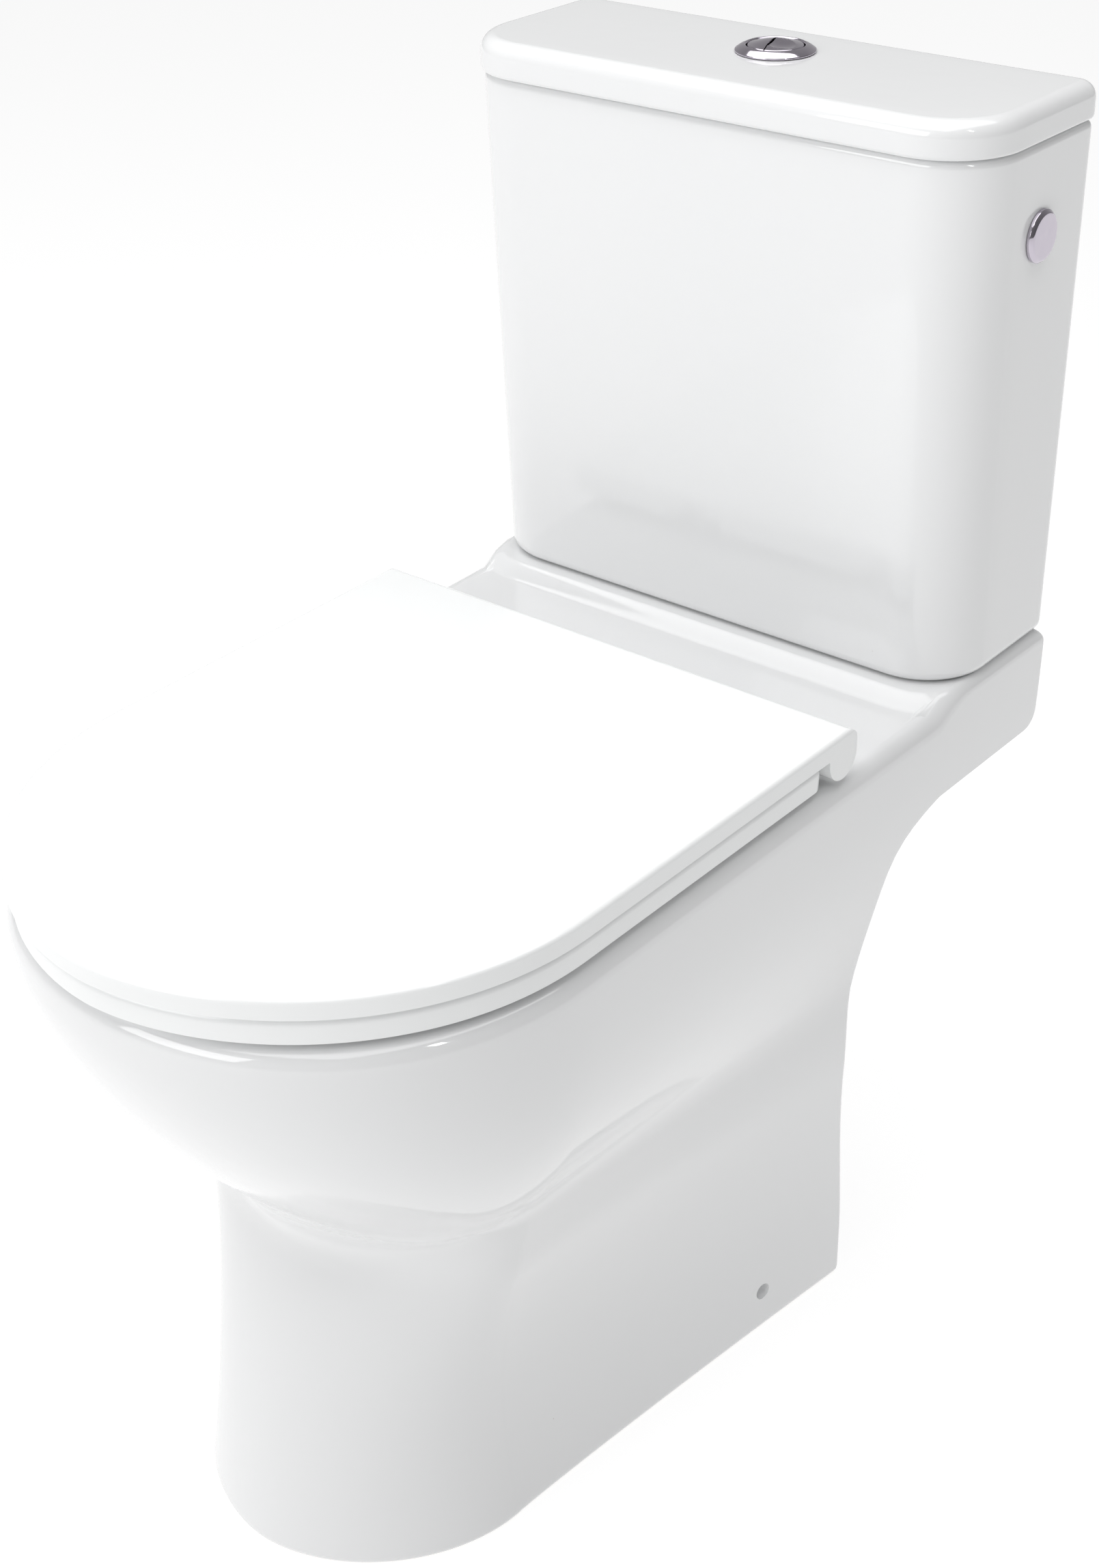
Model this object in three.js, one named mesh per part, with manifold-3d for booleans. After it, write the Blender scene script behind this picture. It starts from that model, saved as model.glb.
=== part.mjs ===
// Close coupled toilet: a ceramic pan with a cistern bolted to its back, a dual flush valve worked by
// a split push button, a side entry fill valve, and a soft-close seat and lid on two hinges.
// Millimetres, +Z up. X runs across, Y towards the wall. Origin: floor level, on the centre line,
// half way between the wall face of the cistern and the front tip of the seat.

import * as THREE from 'three';
import { mergeVertices } from 'three/addons/utils/BufferGeometryUtils.js';
import Module from 'manifold-3d';

const wasm = await Module();
wasm.setup();

// ---------- Driving dimensions ----------

// Overall
const projection = 654;            // wall to the front tip of the seat lid
const rimHeight = 446;             // floor to the flat top of the pan
const ledgeRise = 9;               // the cistern's ledge above the pan's rim
const cisternHeight = 328;         // base to the open top
const cisternLidHeight = 21.5;
const panWidth = 362;              // across the rim at the seat
const platformWidth = 374;         // across the back of the pan, under the cistern
const cisternWidthTop = 373;
const cisternWidthBase = 368.6;
const cisternDepthTop = 135.3;
const cisternDepthBase = 122.9;

// Clearances
const touch = 0.3;                 // between pieces that bear on each other
const running = 0.4;               // round a piece that turns or slides

// Pan, outside
const bowlCentre = projection - 188;   // from the wall: where the straight sides meet the round front
const rimReach = 182;              // bowlCentre to the front of the rim
const bowlDrop = 241;              // height of the rounded underside of the bowl
const rimBand = 19;                // upright band at the top of the rim
const footWidthFront = 233;        // across the foot at bowlCentre
const neckWidth = 212;             // across the pedestal at its narrowest, at bowlCentre
const kneeWidth = 247;             // across the pedestal where the bowl grows out of it
const footReach = 115;             // bowlCentre to the front of the foot
const neckReach = 97;
const kneeReach = 62;
const kneeHeight = 210;
const footWidthBack = 305;
const footBack = 157;              // from the wall
const pedestalBack = 185;
const pedestalBackHeight = 255;
const platformThickness = 61;
const rimRound = 12;
const ledgeDepth = 131;
const panWall = 12;
const deckThickness = 17;

// Pan, inside
const bowlOpeningWidth = 250;
const bowlOpeningBack = 292;       // from the wall
const bowlOpeningFront = projection - 51;
const rimChannelDepth = 44;
const rimChannelWidth = 16;
const rimLip = 8;
const sumpHeight = 90;
const sumpRadius = 36;
const sumpCentre = bowlCentre - 54;    // from the wall
const trapBore = 36;
const outletHeight = 180;
const outletRadius = 51;
const outletBore = 43;
const outletEnd = 150;             // from the wall
const floorHoleRadius = 6;
const floorHoleBack = 238;         // from the wall
const floorHoleHeight = 31;

// Cistern
const cisternWall = 10;
const cisternCorner = 46;
const cisternBackCorner = 12;
const lidWidth = 375;
const lidDepth = 139;
const lidWall = 9;
const lidLipDepth = 8;
const cisternBoltSpacing = 152;
const cisternBoltBack = 46;        // from the wall
const cisternBoltRadius = 4;
const sideHoleHeight = cisternHeight - 54;   // above the cistern's base
const sideHoleBack = 61;           // from the wall
const sideHoleRadius = 11.5;

// Flush valve and button
const valveBack = 72;              // from the wall
const valveTailRadius = 25;
const valveTailBore = 21;
const towerRadius = 33;
const towerWall = 3;
const towerHeight = cisternHeight - 90;
const overflowRadius = 9;
const buttonBack = 57;             // from the wall
const buttonRadius = 17;
const sleeveRadius = buttonRadius + 2.4;
const collarRadius = buttonRadius + 7.5;
const buttonTravel = 4;
const rodOffset = 9;
const rodRadius = 2.2;

// Seat
const seatWidth = 361;
const seatFrontWidth = 358;
const seatCurve = 187.4;           // length of the rounded front
const seatBack = 220;              // from the wall, rear face of the lid's hood
const ringGap = 0.8;
const ringThickness = 16.1;
const ringWidth = 62;
const bufferHeight = 4.7;
const seatLidThickness = 11.8;
const hingeBack = 234;             // from the wall
const hingeSpacing = 156;
const hoodRadius = 14.3;
const pinRadius = 3.2;

// ---------- Heights and places that follow ----------

const wall = projection / 2;
const ledgeHeight = rimHeight + ledgeRise;
const cisternBase = ledgeHeight + touch;
const cisternTop = cisternBase + cisternHeight;
const lidBase = cisternTop + 2 * touch;
const lidTop = lidBase + cisternLidHeight;
const ringBase = rimHeight + bufferHeight;
const ringTop = ringBase + ringThickness;
const seatLidBase = ringTop + ringGap;
const seatLidTop = seatLidBase + seatLidThickness;
const hingeHeight = seatLidTop - 15;
const cisternFloor = cisternBase + cisternWall;
const platformBase = rimHeight - platformThickness;

// Y of a point given by its distance from the wall.
const fromWall = (distance) => wall - distance;

// ---------- Materials ----------

const finish = (color, roughness, metalness = 0) =>
  new THREE.MeshStandardMaterial({ color, roughness, metalness });
const ceramic = finish(0xf1f4f3, 0.08);
const seatPlastic = finish(0xfbfbfb, 0.18);
const chrome = finish(0xb9b4bd, 0.08, 1);
const steel = finish(0x9a9da0, 0.32, 1);
const brass = finish(0xb59a5a, 0.35, 1);
const rubber = finish(0x26272a, 0.75);
const softWhite = finish(0xe8e8e6, 0.6);
const whiteNylon = finish(0xe9ebea, 0.42);
const blueNylon = finish(0x3f6ea8, 0.42);

// ---------- Small helpers ----------

// A closed three.js geometry as a solid.
function solid(geometry) {
  const bare = geometry.index ? geometry.toNonIndexed() : geometry.clone();
  bare.deleteAttribute('normal');
  bare.deleteAttribute('uv');
  const merged = mergeVertices(bare, 1e-3);
  const kept = [];
  const index = merged.index.array;
  for (let i = 0; i < index.length; i += 3) {
    const [a, b, c] = [index[i], index[i + 1], index[i + 2]];
    if (a !== b && b !== c && c !== a) kept.push(a, b, c);
  }
  return new wasm.Manifold(new wasm.Mesh({
    numProp: 3,
    vertProperties: merged.attributes.position.array,
    triVerts: new Uint32Array(kept),
  }));
}

// A solid as a three.js geometry.
function geometryOf(body) {
  const { vertProperties, triVerts } = body.getMesh();
  const geometry = new THREE.BufferGeometry();
  geometry.setAttribute('position', new THREE.BufferAttribute(new Float32Array(vertProperties), 3));
  geometry.setIndex(new THREE.BufferAttribute(new Uint32Array(triVerts), 1));
  const flat = geometry.toNonIndexed();
  flat.computeVertexNormals();
  return flat;
}

const join = (...bodies) => bodies.reduce((all, body) => all.add(body));
const cut = (body, ...tools) => tools.reduce((left, tool) => left.subtract(tool), body);

const model = new THREE.Group();

// Adds a named mesh to the model.
function piece(name, body, material) {
  const mesh = new THREE.Mesh(body.isBufferGeometry ? body : geometryOf(body), material);
  mesh.name = name;
  model.add(mesh);
  return mesh;
}

// Upright round bar between two heights.
function post(radius, low, high, x, y, sides = 16) {
  const bar = new THREE.CylinderGeometry(radius, radius, high - low, sides);
  bar.rotateX(Math.PI / 2);
  bar.translate(x, y, (low + high) / 2);
  return solid(bar);
}

// Round bar along X between two places.
function axle(radius, from, to, y, z, sides = 16) {
  const bar = new THREE.CylinderGeometry(radius, radius, Math.abs(to - from), sides);
  bar.rotateZ(Math.PI / 2);
  bar.translate((from + to) / 2, y, z);
  return solid(bar);
}

// Round bar along Y between two places.
function spoke(radius, from, to, x, z, sides = 16) {
  const bar = new THREE.CylinderGeometry(radius, radius, Math.abs(to - from), sides);
  bar.translate(x, (from + to) / 2, z);
  return solid(bar);
}

function block(x0, x1, y0, y1, z0, z1) {
  const box = new THREE.BoxGeometry(x1 - x0, y1 - y0, z1 - z0);
  box.translate((x0 + x1) / 2, (y0 + y1) / 2, (z0 + z1) / 2);
  return solid(box);
}

// Flat ring standing on Z.
const washer = (outer, inner, low, high, x, y, sides = 16) =>
  cut(post(outer, low, high, x, y, sides), post(inner, low - 1, high + 1, x, y, sides));

// Solid of revolution about an upright axis; the profile is [radius, height] pairs from axis to axis.
function turned(profile, x, y, sides = 24) {
  const lathe = new THREE.LatheGeometry(profile.map(([r, z]) => new THREE.Vector2(r, z)), sides);
  lathe.rotateX(Math.PI / 2);
  lathe.translate(x, y, 0);
  return solid(lathe);
}

// Round bar swept along a smooth path through the points.
function sweep(radius, points, sides = 12, steps = 14) {
  const path = new THREE.CatmullRomCurve3(points.map((p) => new THREE.Vector3(...p)));
  const section = new THREE.Shape();
  for (let i = 0; i < sides; i += 1) {
    const turn = (i / sides) * 2 * Math.PI;
    const [u, v] = [radius * Math.cos(turn), radius * Math.sin(turn)];
    if (i === 0) section.moveTo(u, v);
    else section.lineTo(u, v);
  }
  section.closePath();
  return solid(new THREE.ExtrudeGeometry(section, { steps, extrudePath: path, bevelEnabled: false }));
}

// Upright slab from a flat outline, its top and bottom edges rounded by edge.
function slab(outline, low, high, edge, holes = []) {
  const shape = new THREE.Shape(outline.map(([x, y]) => new THREE.Vector2(x, y)));
  for (const hole of holes) shape.holes.push(new THREE.Path(hole.map(([x, y]) => new THREE.Vector2(x, y))));
  const options = { depth: high - low - 2 * edge, bevelEnabled: edge > 0, bevelSize: edge,
    bevelOffset: -edge, bevelThickness: edge, bevelSegments: 2, steps: 1 };
  const geometry = new THREE.ExtrudeGeometry(shape, options);
  geometry.translate(0, 0, low + edge);
  return solid(geometry);
}

// Solid through a stack of outlines with the same number of points, bottom first.
// Each end is closed by a fan round a point on the centre line.
function stack(outlines, heights, centreY) {
  const positions = [];
  const count = outlines[0].length;
  const at = (row, i) => [...outlines[row][i % count], heights[row]];
  for (let row = 0; row + 1 < outlines.length; row += 1) {
    for (let i = 0; i < count; i += 1) {
      const [a, b, c, d] = [at(row, i), at(row, i + 1), at(row + 1, i + 1), at(row + 1, i)];
      positions.push(...a, ...b, ...c, ...a, ...c, ...d);
    }
  }
  const last = outlines.length - 1;
  for (let i = 0; i < count; i += 1) {
    positions.push(0, centreY, heights[0], ...at(0, i + 1), ...at(0, i));
    positions.push(0, centreY, heights[last], ...at(last, i), ...at(last, i + 1));
  }
  const geometry = new THREE.BufferGeometry();
  geometry.setAttribute('position', new THREE.BufferAttribute(new Float32Array(positions), 3));
  return solid(geometry);
}

// Full outline, anticlockwise from the front tip, from its right half that starts and ends on the
// centre line.
const mirrored = (half) =>
  [...half, ...half.slice(1, -1).reverse().map(([x, y]) => [-x, y])];

// Rounded rectangle from the wall side forward: half width, distances from the wall, corner radii.
function boxOutline(halfWidth, back, front, backRadius, frontRadius, steps = 6) {
  const half = [[0, fromWall(front)]];
  for (let i = 0; i <= steps; i += 1) {
    const turn = (i / steps) * Math.PI / 2;
    half.push([halfWidth - frontRadius * (1 - Math.sin(turn)),
      fromWall(front - frontRadius * (1 - Math.cos(turn)))]);
  }
  for (let i = 0; i <= 3; i += 1) {
    const turn = (i / 3) * Math.PI / 2;
    half.push([halfWidth - backRadius * (1 - Math.cos(turn)),
      fromWall(back + backRadius * (1 - Math.sin(turn)))]);
  }
  half.push([0, fromWall(back)]);
  return mirrored(half);
}

const smoothStep = (from, to, value) => {
  const t = Math.min(Math.max((value - from) / (to - from), 0), 1);
  return t * t * (3 - 2 * t);
};

// Radius of a superellipse quarter in the direction turn.
const superRadius = (turn, halfWidth, reach, power) =>
  ((Math.abs(Math.cos(turn)) / halfWidth) ** power
    + (Math.abs(Math.sin(turn)) / reach) ** power) ** (-1 / power);

// ---------- Pan ----------

// Greater of two radii, blended over a width so that the crease between them is rounded.
function blended(a, b, width) {
  return (a + b + Math.hypot(a - b, 0.42 * width)) / 2;
}

// Half widths and front reaches of the bowl and of the pedestal at a height.
function panSection(z) {
  const halfRim = panWidth / 2;
  const depth = Math.min(Math.max((rimHeight - rimBand - z) / bowlDrop, 0), 0.9999);
  const bowlReach = Math.max(rimReach * (1 - depth ** 1.5) ** (1 / 1.2), 15);
  const bowlHalf = Math.max(halfRim * (1 - depth ** 2.4) ** (1 / 1.6), 15);
  const t = Math.min(z, kneeHeight) / (kneeHeight / 2);
  const curve = (a, b, c) => (a * (t - 1) * (t - 2)) / 2 - b * t * (t - 2) + (c * t * (t - 1)) / 2;
  const rise = Math.min(Math.max((z - kneeHeight) / (rimHeight - kneeHeight), 0), 1);
  const pedestalHalf = curve(footWidthFront, neckWidth, kneeWidth) / 2
    + (halfRim - 3 - kneeWidth / 2) * rise ** 1.1;
  const pedestalReach = curve(footReach, neckReach, kneeReach) + 6 * rise;
  return { bowlReach, bowlHalf, pedestalHalf, pedestalReach };
}

// Half width at the back of the pan at a height.
const backHalf = (z) =>
  footWidthBack / 2 + (platformWidth / 2 - footWidthBack / 2) * smoothStep(60, rimHeight - 6, z);

// Outline of the pan at a height, its back at a distance from the wall, drawn in by inset.
function panOutline(z, back, inset) {
  const { bowlReach, bowlHalf, pedestalHalf, pedestalReach } = panSection(z);
  const half = [];
  const frontSteps = 12;
  const sideSteps = 3;
  const corner = 6;
  let side = 0;
  for (let i = 0; i <= frontSteps; i += 1) {
    const turn = (i / frontSteps - 1) * Math.PI / 2;
    const bowl = superRadius(turn, bowlHalf, bowlReach, 2.12);
    const pedestal = superRadius(turn, pedestalHalf, pedestalReach, 1.85);
    const blend = 48 * (1 - smoothStep(rimHeight - 105, rimHeight - 30, z)) + 0.01;
    const radius = blended(bowl, pedestal, blend) - inset;
    half.push([i === 0 ? 0 : radius * Math.cos(turn), fromWall(bowlCentre) + radius * Math.sin(turn)]);
    side = radius;
  }
  const end = Math.max(backHalf(z) - inset, 20);
  const length = bowlCentre - back - inset - corner;
  const fullLength = bowlCentre - sideBack(z) - inset - corner;
  const width = (share) => side + (end - side) * (share * length / fullLength) ** 1.15;
  for (let i = 1; i <= sideSteps; i += 1) {
    const t = i / sideSteps;
    half.push([width(t), fromWall(bowlCentre) + length * t]);
  }
  half.push([width(1) - 0.3 * corner, fromWall(back + inset + 0.3 * corner)]);
  half.push([width(1) - corner, fromWall(back + inset)]);
  half.push([0, fromWall(back + inset)]);
  return mirrored(half);
}

// Distance from the wall at which the side has its full width: the pedestal's back low down, the
// wall higher up, with an even change between so that the side stays one smooth surface.
function sideBack(z) {
  const low = panBack(Math.min(z, pedestalBackHeight));
  return 1 + (low - 1) * (1 - smoothStep(200, rimHeight - 26, z));
}

// Distance of the pedestal's back from the wall at a height: upright, then a cove under the platform.
function panBack(z) {
  if (z <= pedestalBackHeight) {
    return footBack + (pedestalBack - footBack) * smoothStep(40, pedestalBackHeight, z);
  }
  const s = Math.min((z - pedestalBackHeight) / (platformBase - pedestalBackHeight), 1);
  return pedestalBack - 24 * s ** 1.6 - 45 * s ** 12;
}

// Outer shape of the pan: foot, pedestal, bowl and the platform that reaches back to the wall.
function panSkin() {
  const rows = [[0, footBack, 4], [1.5, footBack, 1.2], [4, footBack, 0]];
  for (const z of [30, 80, 130, 170, 200, 225, 245]) rows.push([z, panBack(z), 0]);
  for (const s of [0.15, 0.4, 0.65, 0.85, 0.95, 1]) {
    const z = pedestalBackHeight + s * (platformBase - pedestalBackHeight);
    rows.push([z, panBack(z), 0]);
  }
  rows.push([platformBase + 1, 12, 0]);
  rows.push([platformBase + 4, 4, 0]);
  rows.push([platformBase + 10, 1, 0]);
  for (const turn of [0, 0.4, 0.75, 1]) {
    const angle = turn * Math.PI / 2;
    rows.push([rimHeight - rimRound * (1 - Math.sin(angle)), 1, rimRound * (1 - Math.cos(angle))]);
  }
  return stack(rows.map(([z, back, inset]) => panOutline(z, back, inset)),
    rows.map(([z]) => z), fromWall(bowlCentre));
}

// The raised ledge that the cistern stands on.
function panLedge() {
  const rows = [[rimHeight - 30, 0.2]];
  for (const turn of [0, 0.35, 0.7, 1]) {
    const angle = turn * Math.PI / 2;
    rows.push([ledgeHeight - rimRound * (1 - Math.sin(angle)), 0.2 + rimRound * (1 - Math.cos(angle))]);
  }
  return stack(rows.map(([, inset]) => boxOutline(platformWidth / 2 - inset, 1 + inset, ledgeDepth + 4 - inset,
    8, 14)), rows.map(([z]) => z), fromWall(ledgeDepth / 2));
}

// Outline of the bowl's opening and of the hollow below it.
function bowlOutline(halfWidth, front, back, centre) {
  const half = [];
  const steps = 12;
  for (let i = 0; i <= steps; i += 1) {
    const turn = (i / steps - 0.5) * Math.PI;
    const reach = turn < 0 ? front - centre : centre - back;
    const radius = superRadius(turn, halfWidth, reach, 2.15);
    const x = i === 0 || i === steps ? 0 : radius * Math.cos(turn);
    half.push([x, fromWall(centre) + radius * Math.sin(turn)]);
  }
  return mirrored(half);
}

// The bowl's inner surface from under the rim down to the sump, grown by a wall thickness.
function bowlHollow(grow) {
  const top = rimHeight - rimChannelDepth - 6;
  const openingCentre = (bowlOpeningFront + bowlOpeningBack) / 2;
  const outlines = [];
  const heights = [];
  for (let i = 0; i <= 9; i += 1) {
    const depth = 1 - i / 9;
    const share = (1 - depth ** 1.1) ** 1.15;
    const halfWidth = sumpRadius + (bowlOpeningWidth / 2 + rimChannelWidth - sumpRadius) * share + grow;
    const centre = openingCentre + (sumpCentre - openingCentre) * depth;
    const reach = (limit) => sumpRadius + (Math.abs(limit - openingCentre) - sumpRadius) * share + grow;
    outlines.push(bowlOutline(halfWidth, centre + reach(bowlOpeningFront + rimChannelWidth / 2),
      centre - reach(bowlOpeningBack), centre));
    heights.push(sumpHeight + (top - sumpHeight) * (1 - depth) - (i === 0 ? grow : 0));
  }
  outlines.push(outlines[outlines.length - 1]);
  heights.push(top + (grow > 0 ? rimChannelDepth : 8));
  return stack(outlines, heights, fromWall(sumpCentre));
}

// Upright solid on the outline of the bowl's opening, grown by an amount.
function rimOpening(by, low, high) {
  const centre = (bowlOpeningFront + bowlOpeningBack) / 2;
  const outline = bowlOutline(bowlOpeningWidth / 2 + by, bowlOpeningFront + by, bowlOpeningBack - by, centre);
  return stack([outline, outline], [low, high], fromWall(centre));
}

// Lip that hangs inside the rim and hides the channel for the flush water.
const rimLips = () => rimOpening(rimLip, rimHeight - rimChannelDepth, rimHeight - deckThickness + 1);

const trapPath = (end) => [
  [0, fromWall(sumpCentre + 8), sumpHeight + 42], [0, fromWall(sumpCentre - 32), sumpHeight + 30],
  [0, fromWall(345), sumpHeight + 52], [0, fromWall(312), 210], [0, fromWall(270), 248],
  [0, fromWall(228), 222], [0, fromWall(205), outletHeight + 8], [0, fromWall(end), outletHeight],
];

const ductPath = (start) => [
  [0, fromWall(valveBack), start], [0, fromWall(valveBack + 2), rimHeight - 34],
  [0, fromWall(valveBack + 30), rimHeight - 58], [0, fromWall(150), rimHeight - 61],
  [0, fromWall(230), rimHeight - 58], [0, fromWall(bowlOpeningBack + 2), rimHeight - 42],
];

const sides = [-1, 1];
const valveY = fromWall(valveBack);

// Room inside the casting, with walls of a thickness round it.
function panRoom(thickness) {
  const rows = [];
  for (const z of [-1, 60, 120, 180, 230, 290, 345, 385, rimHeight - deckThickness]) {
    rows.push([z, Math.max(panBack(Math.max(z, 0)), pedestalBack - 26)]);
  }
  return stack(rows.map(([z, back]) => panOutline(Math.max(z, 0), back, thickness)),
    rows.map(([z]) => z), fromWall(bowlCentre));
}

// Outer casting: foot, sides, deck, ledge, the lip inside the rim and the duct from the cistern.
function makePan() {
  const behind = pedestalBack + 20;
  const backGap = block(-footWidthBack / 2 + 16, footWidthBack / 2 - 16, fromWall(behind), fromWall(120), -1, 292);
  const pocket = block(-platformWidth / 2 + 18, platformWidth / 2 - 18, fromWall(104), fromWall(16),
    platformBase - 20, rimHeight - deckThickness + 3);
  const shell = cut(join(panSkin(), panLedge()), panRoom(panWall), backGap, pocket);
  const duct = cut(sweep(35, ductPath(ledgeHeight - 20)), bowlHollow(panWall + touch));
  const inlet = join(sweep(26, ductPath(ledgeHeight - 20)), post(27, ledgeHeight - 32, ledgeHeight, 0, valveY, 24),
    post(44, ledgeHeight - 16, ledgeHeight + 9, 0, valveY, 24));
  let pan = cut(join(shell, duct, rimLips()), rimOpening(0, rimHeight - rimChannelDepth - 8, rimHeight + 20), inlet);
  for (const side of sides) {
    pan = cut(pan,
      post(cisternBoltRadius + 1.5, platformBase - 5, ledgeHeight + 9, side * cisternBoltSpacing / 2,
        fromWall(cisternBoltBack), 16),
      post(5.5, rimHeight - 40, rimHeight + 9, side * hingeSpacing / 2, fromWall(hingeBack), 16),
      axle(floorHoleRadius, side * 100, side * 200, fromWall(floorHoleBack), floorHoleHeight, 16));
  }
  return pan;
}

// Basin under the deck, with the trap and the waste outlet.
function makeBasin() {
  const trap = join(sweep(trapBore + 10, trapPath(190)), spoke(outletRadius, fromWall(214),
    fromWall(outletEnd), 0, outletHeight, 24));
  const deckUnderside = rimHeight - deckThickness - touch;
  const reach = projection;
  const above = block(-reach, reach, -reach, reach, deckUnderside, rimHeight + 40);
  const inlet = sweep(26, ductPath(ledgeHeight - 20));
  const bores = join(bowlHollow(0), rimOpening(rimLip + rimChannelWidth, rimHeight - rimChannelDepth - 8,
    rimHeight + 20), sweep(trapBore, trapPath(190)), inlet,
  spoke(outletBore, fromWall(222), fromWall(outletEnd - 5), 0, outletHeight, 24));
  const basin = bowlHollow(panWall).intersect(panRoom(panWall + touch));
  return cut(join(basin, trap), bores, above);
}

// ---------- Cistern ----------

// Outline of the cistern at a height above its base, drawn in by inset.
function cisternOutline(height, inset) {
  const t = height / cisternHeight;
  const halfWidth = (cisternWidthBase + (cisternWidthTop - cisternWidthBase) * t) / 2 - inset;
  const front = cisternDepthBase + (cisternDepthTop - cisternDepthBase) * t - inset;
  return boxOutline(halfWidth, inset, front, Math.max(cisternBackCorner - inset, 4),
    Math.max(cisternCorner - inset, 6));
}

function makeCistern() {
  const round = 8;
  const outer = [[0, round], [2.3, 2.3], [round, 0], [cisternHeight - 6, 0],
    [cisternHeight - 1.8, 1.8], [cisternHeight, 5]];
  const centre = fromWall(cisternDepthBase / 2);
  const body = stack(outer.map(([h, inset]) => cisternOutline(h, inset)),
    outer.map(([h]) => cisternBase + h), centre);
  const inner = [[cisternWall, cisternWall + 6], [cisternWall + 6, cisternWall],
    [cisternHeight + 5, cisternWall]];
  const hollow = stack(inner.map(([h, inset]) => cisternOutline(Math.min(h, cisternHeight), inset)),
    inner.map(([h]) => cisternBase + h), centre);
  let cistern = cut(body, hollow,
    post(valveTailRadius + 1, cisternBase - 5, cisternFloor + 5, 0, fromWall(valveBack), 24));
  for (const side of sides) {
    cistern = cut(cistern,
      post(cisternBoltRadius + 1.5, cisternBase - 5, cisternFloor + 5, side * cisternBoltSpacing / 2,
        fromWall(cisternBoltBack), 16),
      axle(sideHoleRadius, side * 160, side * 200, fromWall(sideHoleBack), cisternBase + sideHoleHeight));
  }
  return cistern;
}

// Half width of the cistern's outer face at the side holes.
const holeFace = (cisternWidthBase + (cisternWidthTop - cisternWidthBase) * sideHoleHeight / cisternHeight) / 2;

function makeCisternLid() {
  const outlineAt = (inset) => boxOutline(lidWidth / 2 - inset, inset, lidDepth - inset,
    Math.max(cisternBackCorner - inset, 4), cisternCorner + 2 - inset);
  const rows = [[0, 2.5], [2.5, 0], [11.5, 0], [16, 1.4], [19.5, 4.8], [cisternLidHeight, 10]];
  const centre = fromWall(lidDepth / 2);
  const plate = stack(rows.map(([, inset]) => outlineAt(inset)), rows.map(([h]) => lidBase + h), centre);
  const lipOutside = cisternOutline(cisternHeight, cisternWall + 2);
  const lip = stack([lipOutside, lipOutside], [lidBase - lidLipDepth, lidBase + 6], centre);
  const recess = stack([0, 1].map(() => cisternOutline(cisternHeight, cisternWall + 2 + lidWall)),
    [lidBase - lidLipDepth - 2, lidTop - lidWall], centre);
  return cut(join(plate, lip), recess, post(sleeveRadius + 0.6, lidBase - 20, lidTop + 5, 0, fromWall(buttonBack), 24));
}

piece('pan', makePan(), ceramic);
piece('pan_basin', makeBasin(), ceramic);
piece('cistern', makeCistern(), ceramic);
piece('cistern_lid', makeCisternLid(), ceramic);

// ---------- Cistern fixings ----------

function cisternFixings() {
  const underside = rimHeight - deckThickness + 3;
  const y = fromWall(cisternBoltBack);
  for (const side of sides) {
    const hand = side < 0 ? 'left' : 'right';
    const x = side * cisternBoltSpacing / 2;
    const bolt = join(post(8, cisternFloor + 3.6 + 2 * touch, cisternFloor + 9, x, y, 6),
      post(cisternBoltRadius, underside - 30, cisternFloor + 5, x, y, 16));
    piece(`cistern_bolt_${hand}`, bolt, brass);
    piece(`bolt_seal_${hand}`, washer(11, cisternBoltRadius + touch, cisternFloor + touch,
      cisternFloor + 3.6 + touch, x, y), rubber);
    piece(`bolt_washer_${hand}`, washer(12, cisternBoltRadius + touch, underside - 3 - touch,
      underside - touch, x, y), steel);
    const nutTop = underside - 3 - 2 * touch;
    const wings = block(x - 15, x + 15, y - 2, y + 2, nutTop - 14, nutTop - 4);
    const nut = cut(join(post(8, nutTop - 10, nutTop, x, y), wings),
      post(cisternBoltRadius + touch, nutTop - 20, nutTop + 2, x, y, 16));
    piece(`wing_nut_${hand}`, nut, brass);
  }
}

cisternFixings();

// ---------- Flush valve ----------

const valveSealTop = cisternFloor + touch + 3;
const valveSeat = valveSealTop + touch + 6;

function flushValveBase() {
  const tailEnd = ledgeHeight - 20;
  const profile = [[valveTailBore, tailEnd], [valveTailRadius, tailEnd], [valveTailRadius, valveSealTop + touch],
    [towerRadius, valveSealTop + touch], [towerRadius, valveSeat], [valveTailBore, valveSeat],
    [valveTailBore, tailEnd]];
  piece('flush_valve_base', turned(profile, 0, valveY), whiteNylon);
  piece('flush_valve_gasket', washer(towerRadius - 1, valveTailRadius + 1 + touch, cisternFloor + touch,
    valveSealTop, 0, valveY, 24), rubber);
  const nutTop = cisternBase - touch;
  piece('flush_valve_nut', cut(post(34, nutTop - 10, nutTop, 0, valveY, 8),
    post(valveTailRadius + touch, nutTop - 12, nutTop + 2, 0, valveY, 24)), whiteNylon);
  piece('coupling_gasket', washer(43.5, 35, ledgeHeight - 15.5, cisternBase - touch, 0, valveY, 24), rubber);
}

flushValveBase();

const towerBase = valveSeat + touch;
const towerTop = towerBase + towerHeight;
const pivotHeight = towerTop + 14;
const pivotBack = buttonBack;
const rodBack = buttonBack - 8.5;

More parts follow.
